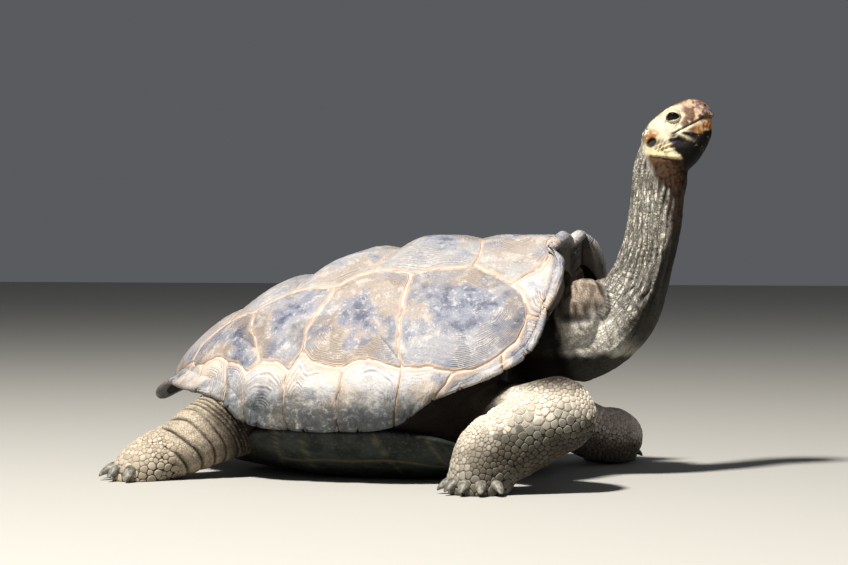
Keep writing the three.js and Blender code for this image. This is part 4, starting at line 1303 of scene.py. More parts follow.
# Horny plates on the crown and snout, smaller ones on the throat, and a fold under the eye.
plate_seam, small_seam = cell_lines(0.017, 0.10), cell_lines(0.0075, 0.16)
plate_seam = plate_seam * face * (up > line + 0.004) * (1 - ear)
small_seam = small_seam * face * smooth(12, 26, below) * (along > -0.02)
gap_lines = (np.clip(fold_zone * 1.4, 0, 1) * (1 - np.clip(1.6 * roll2 + 1.6 * roll, 0, 1))
             * smooth(-64, -58, level) * (reach_out > -50))
eye_line = hump((along - 0.008) * 0.55 - (up + 0.007) * 0.84, 0, 1.1 * MM)
eye_line = eye_line * between(along / MM, -6, 0, 20, 24)
head_crease = np.max([groove, 0.5 * jowl, 0.5 * neck_ring, nostril, corner, 0.7 * gap_lines, 0.7 * eye_line,
                      0.2 * plate_seam, 0.3 * small_seam], 0)
relief = 0.35 * w_fine - 0.4 * plate_seam - 0.6 * small_seam - 0.8 * eye_line
outward *= smooth(0.0, 0.009, side) * sign
moved = local + move * face[:, None] * MM

# %% [markdown]
# The lids come last: skin near the eye lies on a ball just over it, and the almond is let in.
# %% Eyelids
LID_TILT = math.radians(-17)
ALMOND = (15.6 * MM, 8.8 * MM)  # half its length and half its height, before its ends are drawn up
off = one_sided(moved) - EYE_PLACE
reach, way_out = np.linalg.norm(off, axis=1), unit(off)
on_ball = way_out * (EYE["radius"] + 1.6 * MM)
long_way = on_ball[:, 0] * math.cos(LID_TILT) + on_ball[:, 2] * math.sin(LID_TILT)
short_way = on_ball[:, 2] * math.cos(LID_TILT) - on_ball[:, 0] * math.sin(LID_TILT)
almond = np.hypot(long_way / ALMOND[0], (short_way - 1 * MM + 0.26 * np.abs(long_way)) / ALMOND[1])
almond = np.where(off[:, 1] > 0, almond, 3.0)
near_eye = face * (off[:, 1] > -2 * MM) * (1 - smooth(19 * MM, 25 * MM, reach))
lid_reach = EYE["radius"] + mix(2.6, 1.4, smooth(1.0, 1.6, almond)) * MM
fold_ring = 0.5 * hump(almond, 1.5, 0.12)
wanted = np.where(almond < 1.0, EYE["radius"] - 5 * MM, np.maximum(reach, lid_reach)) - fold_ring * 0.9 * MM
lidded = EYE_PLACE + way_out * mix(reach, wanted, near_eye)[:, None]
lidded[:, 1] *= sign
moved = np.where((near_eye > 0)[:, None], lidded, moved)
# Painted shade in the socket, inside the almond.
socket = near_eye * (1 - smooth(0.9, 1.15, almond))
head_crease = np.maximum(head_crease, fold_ring * near_eye * 0.5)


# %% Set the head in the skin
def put(piece, points):
    piece.data.vertices.foreach_set("co", points.astype(np.float32).ravel())
    piece.data.update()


spots = np.where((face > 0)[:, None], head_place(moved), spots)
put(skin, spots)
spots = spots + normals_of(skin) * (relief * MM * face)[:, None]
crease = np.maximum(crease, head_crease * face)
print("head points", int((face > 0.5).sum()))

# %% [markdown]
# Skin is coloured by where it lies: pale grey ridges on the neck, a brown throat, a cream cheek, a
# tan beak, dusty beige legs. Shade is painted in as well, in the folds, on the undersides and where
# the shell shades the skin, and a few sunlit parts are painted lighter. Broad tones are set per point,
# since they follow the body's parts, and the scales take theirs from the same table. Fine mottling is
# left to the nodes.
# %% Tones of the skin
def shade(code):
    return np.array(paint(code)[:3])


def laid(base, coats):
    """Lays colours over the points' colours, each by a share for every point."""
    if isinstance(base, str):
        base = np.tile(shade(base), (len(spots), 1))
    for code, share in coats:
        base = base + (shade(code) - base) * np.clip(share, 0, 1)[:, None]
    return base


def close_to(*names):
    return 1 - smooth(1.15, 1.4, share_on(*names))


spots[:, 2] = np.maximum(spots[:, 2], 0.5 * MM)  # the soles are flat on the floor
where, local = placed(spots)
x, y, z = spots.T
n_big, n_mid, n_small = grain(spots, 0.06, 3.0), grain(spots, 0.02, 7.0), grain(spots, 0.007, 11.0)
facing = normals_of(skin)
legs, near_leg = close_to("arm", "fore", "hind", "far_hind"), close_to("arm", "fore")
# Where painted shade lies on the near fore leg: its low elbow and its foot.
elbow_low = smooth(0.150, 0.115, z + 0.014 * n_mid) * smooth(0.30, 0.36, x + 0.02 * n_big)
near_foot = close_to("fore") * smooth(0.17, 0.07, z + 0.02 * n_mid)
thigh_on = close_to("hind", "far_hind")
thigh_way = np.where(where["hind"][2] < where["far_hind"][2], where["hind"][0], where["far_hind"][0])
off_limbs = smooth(1.1, 1.3, share_on())
off_elbow = 1 - smooth(0.34, 0.38, x) * smooth(-0.24, -0.28, y)
upper_arm = close_to("arm") * (1 - smooth(0.13, 0.2, where["arm"][0])) * (where["fore"][2] > 1.1)
tint = laid("#b7ab9b", [
    ("#e6dccb", legs),
    # Painted light: the far fore leg is near white so it reads as sunlit, though the shell shades it.
    ("#e6d8d0", 1 - smooth(1.1, 1.35, where["far_fore"][2])),
    ("#a39789", smooth(0.1, 0.5, n_big) * mix(0.45, 0.15, legs)),
    # Painted shade: undersides, the near foreleg's shaded side, its low elbow and its foot are darkened.
    ("#4b4438", smooth(0.15, -0.45, facing[:, 2]) * 0.85),
    ("#4f4a3d", near_leg * smooth(0.15, -0.2, facing[:, 2] + 0.12 * n_mid) * 0.85),
    ("#2c2821", near_leg * elbow_low * 0.95),
    ("#4b4439", near_foot * mix(0.6, 1.0, smooth(0.24, 0.32, x)) * 0.9),
    # Hind legs, with painted shade at the root of each thigh, then painted shadow of the shell on the skin
    # under it and on the upper arm.
    ("#ac9d88", thigh_on * mix(0.75, 0.9, 1 - smooth(0.12, 0.24, thigh_way))),
    ("#1e1a16", thigh_on * smooth(-0.1, 0.5, facing[:, 0]) * (1 - smooth(0.16, 0.26, thigh_way)) * 0.95),
    ("#2b2620", off_limbs * (x < -0.1) * 0.95),
    ("#1f1916", off_limbs * (x > -0.1) * off_elbow * 0.97),
    ("#221b17", upper_arm * off_elbow * 0.97)])

# %% [markdown]
# The neck is pale with a brown throat that climbs toward the head, and has one pale strand of skin
# down its side. Painted shade darkens its underside and its root where it enters the body, and
# painted light brightens its lit lower side, the bulb at its root and the tops of its ridges. The
# bulges beside it are brown in upright streaks, with painted shade along their foot.
# %% Tones of the neck
way, angle, radius, _ = where["neck"]
nape = height_round(angle)
neck_on = close_to("neck")
brown_edge = np.interp(way, [0.33, 0.42, 0.50, 0.58, 0.66], [0.08, 0.17, 0.30, 0.46, 0.60])
brown = neck_on * (1 - smooth(-0.05, 0.05, nape - brown_edge + 0.06 * n_mid)) * smooth(0.33, 0.4, way)
low_edge = np.interp(way, [0.14, 0.25, 0.35, 0.45], [0.45, 0.42, 0.34, 0.30]) + 0.015 * n_mid
low = neck_on * (1 - smooth(low_edge - 0.04, low_edge + 0.02, nape)) * (1 - smooth(0.42, 0.52, way))
# Painted light: the bulb where the neck leaves the body is painted near white, as if sunlit.
root_bulb_painted_light = (between(x, 0.350, 0.368, 0.45, 0.52) * smooth(0.266, 0.284, z + 0.006 * n_mid)
             * (1 - smooth(0.336, 0.350, z - 0.25 * np.maximum(0, x - 0.40))) * (np.abs(y) < 0.16))
# Painted highlight on the tops of the ridges between the long folds.
ridge_highlight = np.clip(1 - 1.6 * long_fold, 0, 1) * smooth(-0.2, 0.3, w_fine + w_mid)
tint = laid(tint, [
    ("#ece6d8", neck_on),
    ("#7b7262", neck_on * np.clip(0.5 + 0.9 * n_mid, 0, 1) * 0.40),
    ("#f2ede0", neck_on * strand * 0.95),
    ("#3c2513", brown * 0.95),
    ("#1f1410", brown * smooth(0.0, 0.35, n_small + 0.4 * n_mid) * 0.8),
    ("#a89a8b", bulge_share() * 0.95),
    ("#5d4d43", bulge_share() * smooth(0.0, 0.35, grain(spots * [2.2, 2.2, 0.5], 0.03, 61.0)) * 0.8),
    # Painted shade along the foot of the bulges, next to the shell.
    ("#1f1916", bulge_share() * smooth(0.40, 0.352, z + 0.01 * n_mid) * 0.96),
    # Painted light on the lit lower side of the neck.
    ("#f4f0e6", neck_on * (1 - smooth(0.30, 0.44, way)) * 0.9
     * smooth(low_edge - 0.02, low_edge + 0.05, nape)),
    # Painted shade under the lower neck.
    ("#1f1d19", low * 0.95),
    # Painted light on the bulb at the neck's root.
    ("#f6f1e6", root_bulb_painted_light * 0.92),
    # Painted shade where the neck enters the body.
    ("#1b1613", neck_on * (1 - smooth(0.115, 0.145, way + 0.01 * n_mid)) * 0.95),
    # Painted highlight on the ridge tops of the neck's side.
    ("#fbf7ec", neck_on * side_on * ridge_highlight * middle * 0.75 * (1 - low))])

# %% [markdown]
# The head is cream. Its crown and snout are tan with brown and violet blotches, the beak's edge is
# horn yellow, the chin and the front of the cheek are nearly black, a dark stain deepened by painted
# shade, and the throat below the roll of skin is brown.
# %% Tones of the head
along, side, up = one_sided(local).T
head_on = smooth(-0.088, -0.07, along) * (side < 0.075) * (z > 0.64)
below, height = (mouth_height(along) - up) / MM, up / MM
crown = smooth(24, 40, height)
front_zone = smooth(0.024, 0.044, along + 0.012 * n_mid)
rear_zone = 1 - smooth(-0.050, -0.028, along + 0.012 * n_mid)
lower = smooth(0.0, 3.0, below)
below_roll = smooth(-2, 3, roll_line - 4 - level)
brown = below_roll * smooth(-52, -40, reach_out + 4 * n_mid)
patch_edge = np.interp(level, [-140, -98, -73, -60, -44, -22, -10], [26, 25, 28, 24, 0, -6, -4])
patch_top = mix(8.5, 27.0, smooth(0.018, 0.060, along)) + 5 * n_mid
# The chin and the front of the cheek: a dark stain, deepened by painted shade.
chin_stain_and_shade = (smooth(-3, 4, reach_out - patch_edge + 4 * n_mid + 2 * n_small)
         * smooth(-2, 2.5, below - patch_top + 2 * n_small) * (up < 0))
head = laid("#ddd3b6", [
    ("#c9b797", crown * 0.8),
    ("#7d5f49", crown * smooth(0.05, 0.4, n_small + 0.5 * n_mid) * 0.7),
    ("#a07c5e", front_zone * 0.7),
    ("#5d3d2e", front_zone * smooth(-0.2, 0.06, 0.7 * n_mid + 0.5 * n_small) * (height < 40) * 0.85),
    ("#6d5872", front_zone * smooth(0.05, 0.3, grain(spots, 0.012, 17.0)) * smooth(36, 20, height) * 0.75),
    ("#3a281e", smooth(0.022, 0.040, along + 0.01 * n_mid) * hump(below, -6, 6)
     * smooth(-0.4, 0.1, n_small + n_mid) * 0.9),
    ("#5f5752", rear_zone * smooth(-10, 4, height) * smooth(-0.35, 0.05, n_small + 0.5 * n_mid) * 0.95),
    ("#a5703f", hump(along, -0.042, 0.019) * hump(up, 0.003, 0.011) * smooth(-0.9, 0.1, n_small) * 1.3),
    ("#6a4527", hump(along, -0.046, 0.010) * hump(up, 0.001, 0.006) * 0.9),
    # Painted shade in the dish of the ear drum.
    ("#14110f", (1 - smooth(0.9, 1.4, ear_r)) * 0.95),
    ("#c98f4c", lower * smooth(0.036, 0.055, along + 0.012 * n_mid) * smooth(-0.5, 0.2, n_small + n_mid)),
    ("#7a4620", lower * smooth(0.038, 0.06, along + 0.01 * n_mid)
     * smooth(-0.05, 0.25, n_small + 0.4 * n_mid) * smooth(5, 12, below + 3 * n_mid)),
    ("#8d8474", below_roll),
    ("#3c2513", brown * 0.95),
    ("#1f1410", brown * smooth(-0.1, 0.3, n_small + 0.4 * n_mid) * 0.8),
    ("#7a4a24", brown * smooth(-84, -66, level) * smooth(20, 4, reach_out) * 0.3),
    # Dark stain and painted shade on the chin and the front of the cheek.
    ("#0b0908", chin_stain_and_shade),
    # Painted shade, violet grey, in the hollow below the cheek fold.
    ("#57485f", hump(reach_out, 8, 10) * hump(level, -33, 6) * smooth(-0.3, 0.2, n_small) * 0.75),
    ("#8b7a64", chin_stain_and_shade * smooth(0.46, 0.56, n_small + 0.2 * n_mid) * smooth(-62, -40, level) * 0.6),
    ("#dccfae", np.clip(finger * 1.3, 0, 1) * (side > 0.02) * 0.85),
    ("#dcc79c", 1.5 * roll + 1.3 * roll2),
    ("#e6dcc0", smooth(-4, -1, -np.abs(below - 4)) * between(along, -0.002, 0.01, 0.040, 0.055) * 0.8),
    ("#d9ceb1", hump(almond, 1.35, 0.45) * near_eye * 0.5),
    # Painted shade in the socket round the eye.
    ("#0f0c0a", socket)])
shaded_throat = neck_on * (way > 0.4) * smooth(18, 30, reach_out - 4 * n_mid) * smooth(-150, -110, level)
tint = laid(tint, [("#241a14", shaded_throat * 0.9)])
tint = tint + (head - tint) * head_on[:, None]
print("mean tone", tint.mean(0).round(3))

# %% [markdown]
# Old skin is leathery and dull, with a faint sheen on the worn ridges. Its finest wrinkles run the
# way the folds run, so each point carries its place across and along the folds for the nodes to
# stretch their noise by.
# %% What the skin's points carry
flow = spots * 0.6
own = np.stack([nape * 0.21, way * 0.22, np.full(len(spots), 3.0)], -1)
flow = np.where(((radius < 1.3) & (off_head > 0.5))[:, None], own, flow)
for k, name in enumerate(("hind", "far_hind", "tail")):
    way, angle, radius, _ = where[name]
    own = np.stack([way, np.abs(angle) / np.pi * 0.0525, np.full(len(spots), 5.0 + k)], -1)
    flow = np.where((radius < 1.25)[:, None], own, flow)


def keep_layer(piece, name, values):
    kind, field = {1: ("FLOAT", "value"), 3: ("FLOAT_VECTOR", "vector"),
                   4: ("FLOAT_COLOR", "color")}[values.shape[1] if values.ndim == 2 else 1]
    layer = piece.data.attributes.new(name, kind, "POINT")
    layer.data.foreach_set(field, values.astype(np.float32).ravel())


put(skin, spots + ORIGIN)
skin.data.polygons.foreach_set("use_smooth", np.ones(len(skin.data.polygons), bool))
# Skin between the scales is darker, and on the lower side painted shade makes it nearly black.
gap_tone = laid(tint * 0.8, [("#2e2720", (1 - smooth(-0.2, 0.45, facing[:, 2])) * 0.9)])
bedded = tint + (gap_tone - tint) * scaly_share()[:, None]
netting = neck_on * side_on * (1 - head_on) * mix(0.45, 1.0, smooth(0.2, 0.3, where["neck"][0]))
for name, values in (("tint", np.c_[bedded, np.ones(len(tint))]), ("crease", crease), ("grainline", flow),
                     ("netting", netting), ("face", head_on)):
    keep_layer(skin, name, values)


# %% [markdown]
# Over the painted tones lie fine cracks, a net of thin lines on the neck, and chalky specks, all
# from noise and cell patterns, and painted shade fills the creases. The light parts get more specks
# than the dark ones.
# %% Skin material
def thin_lines(across_mm, along_mm, seed, width):
    """1 on thin lines where noise, stretched along the folds, crosses its middle."""
    scale = (1 / (across_mm * MM), 1 / (along_mm * MM), 1.0)
    moved = leather.node("ShaderNodeVectorMath", 0, {0: leather.layer("grainline", "Vector"), 1: scale},
                         operation="MULTIPLY")
    value = leather.node("ShaderNodeTexNoise", "Fac", {"Vector": moved, "Scale": 1.0, "Detail": 3.0,
                                                       "Roughness": 0.55, "W": seed}, noise_dimensions="4D")
    return (value - 0.5).math("ABSOLUTE").ramp(0.0, width, 1.0, 0.0)


leather = Finish("aged reptile skin", 0.66, 0.12)
leather.colour = leather.layer("tint", "Color")
lightness = leather.node("ShaderNodeRGBToBW", 0, {"Color": leather.colour}) * 1.6
lengthwise, crosswise = thin_lines(9.0, 14.0, 1.0, 0.11), thin_lines(22.0, 3.2, 7.0, 0.07)
net = lengthwise.math("MAXIMUM", crosswise) * leather.layer("netting")
cells = leather.node("ShaderNodeTexVoronoi", "Distance", {"Vector": leather.place, "Scale": 1 / (5.5 * MM)},
                     feature="DISTANCE_TO_EDGE")
cracks = (1.0 - cells.ramp(0.0, 0.14)) * (1.0 - leather.layer("face") * 0.8)
mottle, speck = leather.noise(14, 5, 0.65, 2.0), leather.noise(3.2, 3, 0.6, 9.0)
leather.coat(mottle.ramp(0.46, 0.66) * 0.45, "#8a8172", "MULTIPLY")
leather.coat(speck.ramp(0.58, 0.72) * (lightness * 0.12), "#f2e9d6")
leather.coat(cracks * 0.5, "#7a7060", "MULTIPLY")
# Painted shade, nearly black, in the creases, together with the neck's net of thin lines.
leather.coat((net * 0.85).math("MAXIMUM", leather.layer("crease") * 0.95), "#16120e")
leather.close([skin], cracks * -0.6 - net + speck * 0.6, 1.6, 0.8)

# %% [markdown]
# The fore legs, the feet and the heels are armoured with scales, small and close on the upper
# side and large and knobbed on the front of the fore leg and round the toes. Each is a low dome on
# an irregular outline that fits between its neighbours. They are set by throwing darts at the skin
# and keeping those with room around them, and each outline is cut half way to its neighbours.
# %% Places for scales
SCALE_SIDES = 9
CLOSEST = 0.86  # how near two scales' middles may come, in shares of their radii together
rng = np.random.default_rng(7)


def thrown(share, sizes, count):
    """Random places on the skin's faces where share says so: positions, normals, skin point."""
    corners = triangles_of(skin)
    wanted = share[corners].mean(1)
    a, b, c = (spots[corners[:, k]] for k in range(3))
    face = np.cross(b - a, c - a)
    area = np.linalg.norm(face, axis=1)
    chance = area * wanted / np.mean(sizes[corners], 1) ** 2
    pick = rng.choice(len(corners), count, p=chance / chance.sum())
    u, v = rng.random(count), rng.random(count)
    flip = u + v > 1
    u[flip], v[flip] = 1 - u[flip], 1 - v[flip]
    places = a[pick] + (b - a)[pick] * u[:, None] + (c - a)[pick] * v[:, None]
    return places, face[pick] / area[pick][:, None], corners[pick, 0]


def spaced(places, radius):
    """The places that keep their distance from those kept before them."""
    cell = 0.008
    grid, kept = {}, []
    reach = int(math.ceil(2 * radius.max() / cell))
    span = range(-reach, reach + 1)
    for k, (place, own) in enumerate(zip(places.tolist(), radius.tolist())):
        home = tuple(int(math.floor(v / cell)) for v in place)
        near = (other for i in span for j in span for m in span
                for other in grid.get((home[0] + i, home[1] + j, home[2] + m), ()))
        if all((place[0] - o[0]) ** 2 + (place[1] - o[1]) ** 2 + (place[2] - o[2]) ** 2
               > (CLOSEST * (own + o[3])) ** 2 for o in near):
            grid.setdefault(home, []).append((*place, own))
            kept.append(k)
    return np.array(kept)


# %% Outlines of the scales
def outlines(places, normals, radius, gap):
    """How far each scale reaches in each of its directions, up to half way to its neighbours."""
    tree = KDTree(len(places))
    for k, place in enumerate(places):
        tree.insert(place, k)
    tree.balance()
    turn = np.arange(SCALE_SIDES) / SCALE_SIDES * 2 * np.pi + rng.random((len(places), 1)) * 0.7
    first = np.cross(normals, [0.31, 0.23, 0.92])
    first /= np.linalg.norm(first, axis=1)[:, None]
    second = np.cross(normals, first)
    ways = first[:, None] * np.cos(turn)[..., None] + second[:, None] * np.sin(turn)[..., None]
    far = np.repeat(radius[:, None] * 1.5, SCALE_SIDES, 1)
    for k in range(len(places)):
        for spot, other, distance in tree.find_n(places[k], 11):
            if other == k or distance > 3 * (radius[k] + radius[other]) or normals[k] @ normals[other] < 0.1:
                continue
            off = places[other] - places[k]
            off -= normals[k] * (off @ normals[k])
            size = max(np.linalg.norm(off), 1e-5)
            facing = ways[k] @ (off / size)
            cut = size * radius[k] / (radius[k] + radius[other]) - gap
            far[k] = np.where(facing > 0.15, np.minimum(far[k], cut / np.maximum(facing, 0.15)), far[k])
    return ways, np.maximum(far, radius[:, None] * 0.3)


# %% [markdown]
# The scales are finest on the upper side of the fore leg and largest in a few knobbed patches on
# its front. Those of the toes come next. Each point of the skin keeps the size that fits there.
# %% Size of the scales
facing = normals_of(skin)
upper_side = smooth(0.0, 0.6, facing[:, 2])
sizes = np.where(share_on("arm", "fore") < 1.3, mix(6.4, 3.5, upper_side), 4.4)  # half widths in mm
knobs = np.zeros(len(spots))
for centre, reach, size in (((0.390, -0.46, 0.155), 0.042, 12.0), ((0.460, -0.43, 0.165), 0.036, 10.0),
                            ((0.33, 0.42, 0.08), 0.05, 7.5)):
    near = hump(np.linalg.norm(spots - np.array(centre), axis=1), 0, reach)
    sizes = np.maximum(sizes, mix(sizes, size, near))
    knobs = np.maximum(knobs, near)
for name in ("fore", "far_fore", "hind", "far_hind"):
    way, angle, radius, _ = where[name]
    sole = limbs[name].way[-1]
    toe = (radius < 1.3) * smooth(0.075, 0.03, spots[:, 2]) * smooth(sole - 0.17, sole - 0.12, way)
    sizes = np.maximum(sizes, 5.2 + 3.6 * toe)
    knobs = np.maximum(knobs, 0.35 * toe)
sizes = sizes * (1 + 0.22 * grain(spots, 0.03, 41.0)) * MM
print("scales are", round(float(sizes.min() * 2000)), "to", round(float(sizes.max() * 2000)), "mm wide")

# %% [markdown]
# A scale's mesh is three rings and a top: its foot is sunk in the skin, its flank rises steeply
# and its face is a low dome. Its small patch on the OFBake map lies where its root lies on a map
# of the skin that unrolls each limb, so each scale has one tone and neighbours stay neighbours.
# %% Shape of a scale
skin_walls = walls_of([(skin, -ORIGIN)])
TILES = {"arm": (0.0, 0.0), "fore": (0.34, 0.0), "tail": (0.67, 0.0), "far_fore": (0.0, 0.5),
         "hind": (0.34, 0.5), "far_hind": (0.67, 0.5)}
TILE_HALF = 1.5 * MM  # half a patch on the map, in shares of it
RING_OUT, RING_UP = np.array([1.0, 0.94, 0.72]), np.array([-0.35, 0.62, 1.0])
SCALE_POINTS = 3 * SCALE_SIDES + 2


def scale_points(places, normals, ways, far, height, knob):
    """Each scale's foot, its three rings laid along the skin, and its top."""
    points = np.empty((len(places), SCALE_POINTS, 3))
    for k, (place, normal) in enumerate(zip(places, normals)):
        for ring in range(3):
            for side in range(SCALE_SIDES):
                flat = place + ways[k, side] * (far[k, side] * RING_OUT[ring])
                spot, square, _, _ = skin_walls.find_nearest(Vector(flat))
                lean = mix(np.array(square), normal, 0.6)
                points[k, 1 + ring * SCALE_SIDES + side] = np.array(spot) + lean * height[k] * RING_UP[ring]
        points[k, 0] = place - normal * height[k] * 0.35
        points[k, -1] = place + normal * height[k] * mix(1.06, 0.85, knob[k])
    flat = points.reshape(-1, 3)
    flat[:, 2] = np.maximum(flat[:, 2], 0.2 * MM)
    return flat


# %% Faces of the scales
def scale_faces(points, count):
    sides = SCALE_SIDES
    one = np.arange(sides)
    two = (one + 1) % sides
    quads = np.concatenate([np.stack([1 + r * sides + one, 1 + r * sides + two, 1 + (r + 1) * sides + two,
                                      1 + (r + 1) * sides + one], -1) for r in range(2)])
    top = np.stack([np.full(sides, 3 * sides + 1), 1 + 2 * sides + one, 1 + 2 * sides + two], -1)
    tris = np.concatenate([np.stack([np.full(sides, 0), 1 + two, 1 + one], -1), top])
    starts = np.arange(count)[:, None, None] * SCALE_POINTS
    return turned_out(points, (quads[None] + starts).reshape(-1, 4), (tris[None] + starts).reshape(-1, 3))


# %% Map of the scales
def unrolled(places, limb_names):
    """Where each scale's root lies on the map that unrolls each limb to a tile of its own."""
    spot, best = np.zeros((len(places), 2)), np.full(len(places), 9.0)
    for name in limb_names:
        way, angle, share, _ = limbs[name].locate(places)
        tile = np.stack([TILES[name][0] + 0.02 + 0.28 * np.clip(way / limbs[name].way[-1], 0, 1),
                         TILES[name][1] + 0.03 + 0.43 * (angle / (2 * np.pi) + 0.5)], -1)
        closer = share < best
        spot[closer], best[closer] = tile[closer], share[closer]
    return spot


# %% One coat of scales
def scale_coat(name, limb_names, seed_count, rise):
    share = scaly_share() * smooth(2, 6, spots[:, 2] / MM)  # none under the soles
    share = share * (share_on(*limb_names) < 1.3)
    places, normals, roots = (np.concatenate(pair) for pair in zip(
        thrown(share, sizes, seed_count), thrown(share, sizes * 0.6, seed_count)))
    radius = sizes[roots] * np.repeat([1.0, 0.6], seed_count)
    kept = spaced(places, radius)
    places, normals, roots, radius = places[kept], normals[kept], roots[kept], radius[kept]
    ways, far = outlines(places, normals, radius, 0.3 * MM)
    uneven = 1 + 0.25 * rng.standard_normal(len(places)).clip(-1.5, 1.5)
    height = rise * radius * (0.20 + 0.10 * knobs[roots]) * uneven
    points, count = scale_points(places, normals, ways, far, height, knobs[roots]), len(places)
    quads, tris = scale_faces(points, count)
    edge = np.tile(np.concatenate([[1], np.repeat([1, 0.8, 0.15], SCALE_SIDES), [0]]), (count, 1))
    lot = np.repeat(rng.random(count), SCALE_POINTS)
    piece = new_piece(name, points + ORIGIN, quads, tris, {"edge": edge.ravel(), "lot": lot})
    keep_layer(piece, "tint", np.repeat(np.c_[tint[roots], np.ones(count)], SCALE_POINTS, 0))
    keep_layer(piece, "knob", np.repeat(knobs[roots], SCALE_POINTS))
    keep_layer(piece, "shade", np.repeat(1 - smooth(-0.1, 0.6, facing[roots, 2]), SCALE_POINTS))
    ring_share = np.concatenate([[0], np.repeat([1.0, 0.93, 0.66], SCALE_SIDES), [0]])
    turns = np.concatenate([[0], np.tile(np.arange(SCALE_SIDES) / SCALE_SIDES, 3), [0]])
    patch = disk(turns) * ring_share[:, None] * TILE_HALF
    uv = (unrolled(places, limb_names)[:, None] + patch[None]).reshape(-1, 2)
    corner = np.empty(len(piece.data.loops), np.int32)
    piece.data.loops.foreach_get("vertex_index", corner)
    layer = piece.data.uv_layers.new(name="OFBake")
    layer.data.foreach_set("uv", uv[corner].astype(np.float32).ravel())
    print(name, count, "scales,", len(quads) * 2 + len(tris), "triangles")
    return piece


coats = [scale_coat("scales_fore_right", ("arm", "fore"), 16000, 1.0),
         scale_coat("scales_fore_left", ("far_fore",), 10000, 1.0),
         scale_coat("scales_hind_feet", ("hind", "far_hind"), 7000, 0.9)]

# %% [markdown]
# Each scale has the skin's tone at its root, painted shade included, a little lighter or darker
# than its neighbours. Dust lies on it in pale specks, fewer on the shaded lower side, the knobs are
# worn grey, and the gap round each scale is dark with dirt and, on the lower side, painted shade.
# %% Scale finish
scale_horn = Finish("leg scale keratin", 0.6, 0.2)
scale_horn.colour = scale_horn.layer("tint", "Color")
lightness = scale_horn.node("ShaderNodeRGBToBW", 0, {"Color": scale_horn.colour}) * 1.6
edge, lot, knob, shaded = (scale_horn.layer(k) for k in ("edge", "lot", "knob", "shade"))
mottle, speck = scale_horn.noise(26, 4, 0.6, 6.0), scale_horn.noise(3.0, 3, 0.6, 3.0)
scale_horn.coat(lot.ramp(0.0, 1.0) * 0.5, "#a0968a", "MULTIPLY")
scale_horn.coat(knob * mottle.ramp(0.35, 0.6, 0.5, 0.95), "#77766f")
scale_horn.coat(knob * edge.ramp(0.2, 0.7) * 0.5, "#cfc6b6")
# Pale dust specks, fewer where painted shade lies.
scale_horn.coat(speck.ramp(0.5, 0.68) * ((shaded * -0.28 + 0.34) * lightness), "#ddd3c2")
# The gap round each scale: dark with dirt, and darker still with painted shade on the lower side.
scale_horn.coat(edge.ramp(0.8, 1.0) * (shaded * 0.62 + 0.22), "#241f19")
scale_horn.close(coats, speck, 0.6, 0.6)

# %% [markdown]
# A claw is a blunt, solid cone of horn that curves down to the ground and is worn short by
# walking. One is drawn from a ring by extruding and shrinking it five times, then subdivided, and
# a copy goes to the place of each claw in the frame.
# %% Claws
CLAW_STEPS = [  # out, up, size
    (12, -0.6, 1.0), (10, -2.6, 0.90), (8, -4.6, 0.80), (6, -5.6, 0.66), (3, -4.0, 0.5)]
bpy.ops.object.select_all(action="DESELECT")
bpy.ops.mesh.primitive_circle_add(vertices=14, radius=13.5 * MM, fill_type="NGON", location=(0, 0, 0),
                                  rotation=(0, math.radians(90), 0))
claw = bpy.context.object
claw.name = "claw_pattern"
bpy.ops.object.transform_apply(location=True, rotation=True, scale=True)
bpy.ops.object.mode_set(mode="EDIT")
bpy.ops.mesh.select_all(action="SELECT")
for out_mm, up_mm, size in CLAW_STEPS:
    bpy.ops.mesh.extrude_region_move(TRANSFORM_OT_translate={"value": (out_mm * MM, 0, up_mm * MM)})
    bpy.ops.transform.resize(value=(1, size, size * 0.96))
bpy.ops.mesh.select_all(action="SELECT")
bpy.ops.mesh.normals_make_consistent(inside=False)
bpy.ops.object.mode_set(mode="OBJECT")
rounding = claw.modifiers.new("rounding", "SUBSURF")
rounding.levels = rounding.render_levels = 2
bpy.ops.object.modifier_apply(modifier="rounding")
bpy.ops.object.shade_smooth()
claw_points = points_of(claw)
print("claw", len(claw_points), "points", np.ptp(claw_points, axis=0).round(4), "m")

# %% Place of each claw
FEET = {"fore_right": ((284, -436), -100, 112, 64, 5), "fore_left": ((318, 425), 92, 112, 60, 5),
        "hind_right": ((-518, -398), -130, 96, 66, 4), "hind_left": ((-496, 392), 136, 96, 66, 4)}
claws = {}
for foot, (centre, heading, spread, reach, number) in FEET.items():
    for k in range(number):
        node = f"{foot}_claw_{k + 1}"
        turn = math.radians(heading + spread * (k / (number - 1) - 0.5))
        ahead = np.array([math.cos(turn), math.sin(turn), 0])
        across = np.array([-ahead[1], ahead[0], 0])
        root = np.array([*centre, 26]) * MM + ahead * (reach - 15) * MM + ORIGIN
        horn = claw.copy()
        horn.data = claw.data.copy()
        horn.name = horn.data.name = f"horn_{node}"
        bpy.context.collection.objects.link(horn)
        own = claw_points * [1.05, 1.0, 0.95] * (0.92 + 0.16 * rng.random())
        points = own[:, :1] * ahead + own[:, 1:2] * across + own[:, 2:] * [0, 0, 1] + root
        points[:, 2] = np.maximum(points[:, 2], 1.2 * MM)
        put(horn, points)
        claws[node] = horn
bpy.data.objects.remove(claw)
print("claws", len(claws))

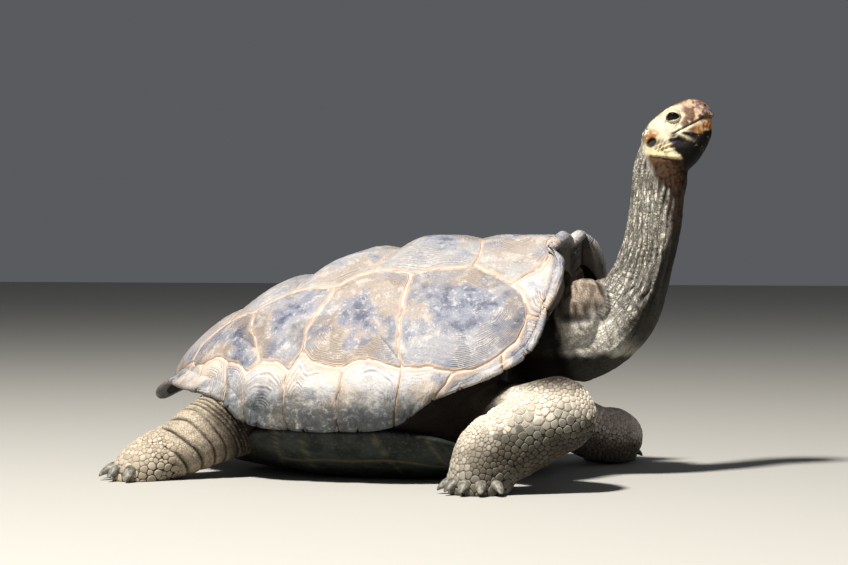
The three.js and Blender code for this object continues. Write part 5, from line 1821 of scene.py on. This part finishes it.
# %% Claw finish
# Claw horn is the same stuff as hooves: layered lengthwise, dull, grey-brown with pale worn tips.
claw_horn = Finish("worn claw keratin", 0.45, 0.35, "#5e5d57")
streaks, dirt = claw_horn.noise(7, 4, 0.6, 1.0), claw_horn.noise(22, 4, 0.6, 5.0)
claw_horn.coat(streaks.ramp(0.4, 0.65), "#8d897d")
claw_horn.coat(dirt.ramp(0.5, 0.65) * 0.7, "#3d3a32")
claw_horn.close(claws.values(), streaks, 1.2, 0.7)

# %% [markdown]
# The eye is a wet ball, nearly black, with a dark brown iris that only shows close to. Its clear
# front stands a little proud, so it catches one small highlight.
# %% Eyes
eyes = {}
for side, node in ((-1, "eye_right"), (1, "eye_left")):
    bpy.ops.object.select_all(action="DESELECT")
    bpy.ops.mesh.primitive_uv_sphere_add(segments=48, ring_count=24, radius=EYE["radius"],
                                         rotation=(math.radians(-90 * side), 0, 0))
    eye = bpy.context.object
    bpy.ops.object.transform_apply(location=True, rotation=True, scale=True)
    ball_points = points_of(eye)
    looking = np.array([0.30, side * 0.93, 0.2])
    looking /= np.linalg.norm(looking)
    front = (ball_points / EYE["radius"]) @ looking
    ball_points += looking * (smooth(0.80, 0.95, front) * 0.9 * MM)[:, None]
    put(eye, ball_points + middle_of(node))
    eye.name = eye.data.name = f"wet_{node}"
    keep_layer(eye, "front", front)
    bpy.ops.object.shade_smooth()
    eyes[node] = eye

# %% Eye finish
wet_eye = Finish("wet eye", 0.09, 0.35, "#120b07")
wet_eye.inputs["IOR"].default_value = 1.34
front = wet_eye.layer("front")
wet_eye.coat(wet_eye.noise(2, 3).ramp(0.35, 0.65), "#21150d")
wet_eye.coat(1.0 - front.ramp(0.80, 0.84) * front.ramp(0.93, 0.90), "#0b0908")
wet_eye.close(eyes.values())
print("eyes", [len(eye.data.vertices) for eye in eyes.values()])

# %% [markdown]
# Each piece takes the place of its solids in the frame. The whole animal is one still body, the
# skin covers every solid of flesh, and the scales lie over the skin.
# %% Hand over
FLESH_ENDINGS = ("base", "middle", "top", "head", "jaw", "trunk", "tail", "upper", "forearm", "foot", "thigh",
                 "shank")
flesh_nodes = [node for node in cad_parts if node.split("_")[-1] in FLESH_ENDINGS]


def hand_over(piece, slot, *nodes):
    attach(piece, "root")
    if nodes:
        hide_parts(*nodes)


for piece in (shell_base, shell_back, *flanks.values(), *rims.values(), shell_tail):
    hand_over(piece, "shell_scutes", "carapace")
hand_over(belly_shell, "belly_plate", "plastron")
hand_over(skin, "skin", *flesh_nodes)
for coat in coats:
    hand_over(coat, "skin")
for node, piece in claws.items():
    hand_over(piece, "claws", node)
for node, piece in eyes.items():
    hand_over(piece, "eyes", node)
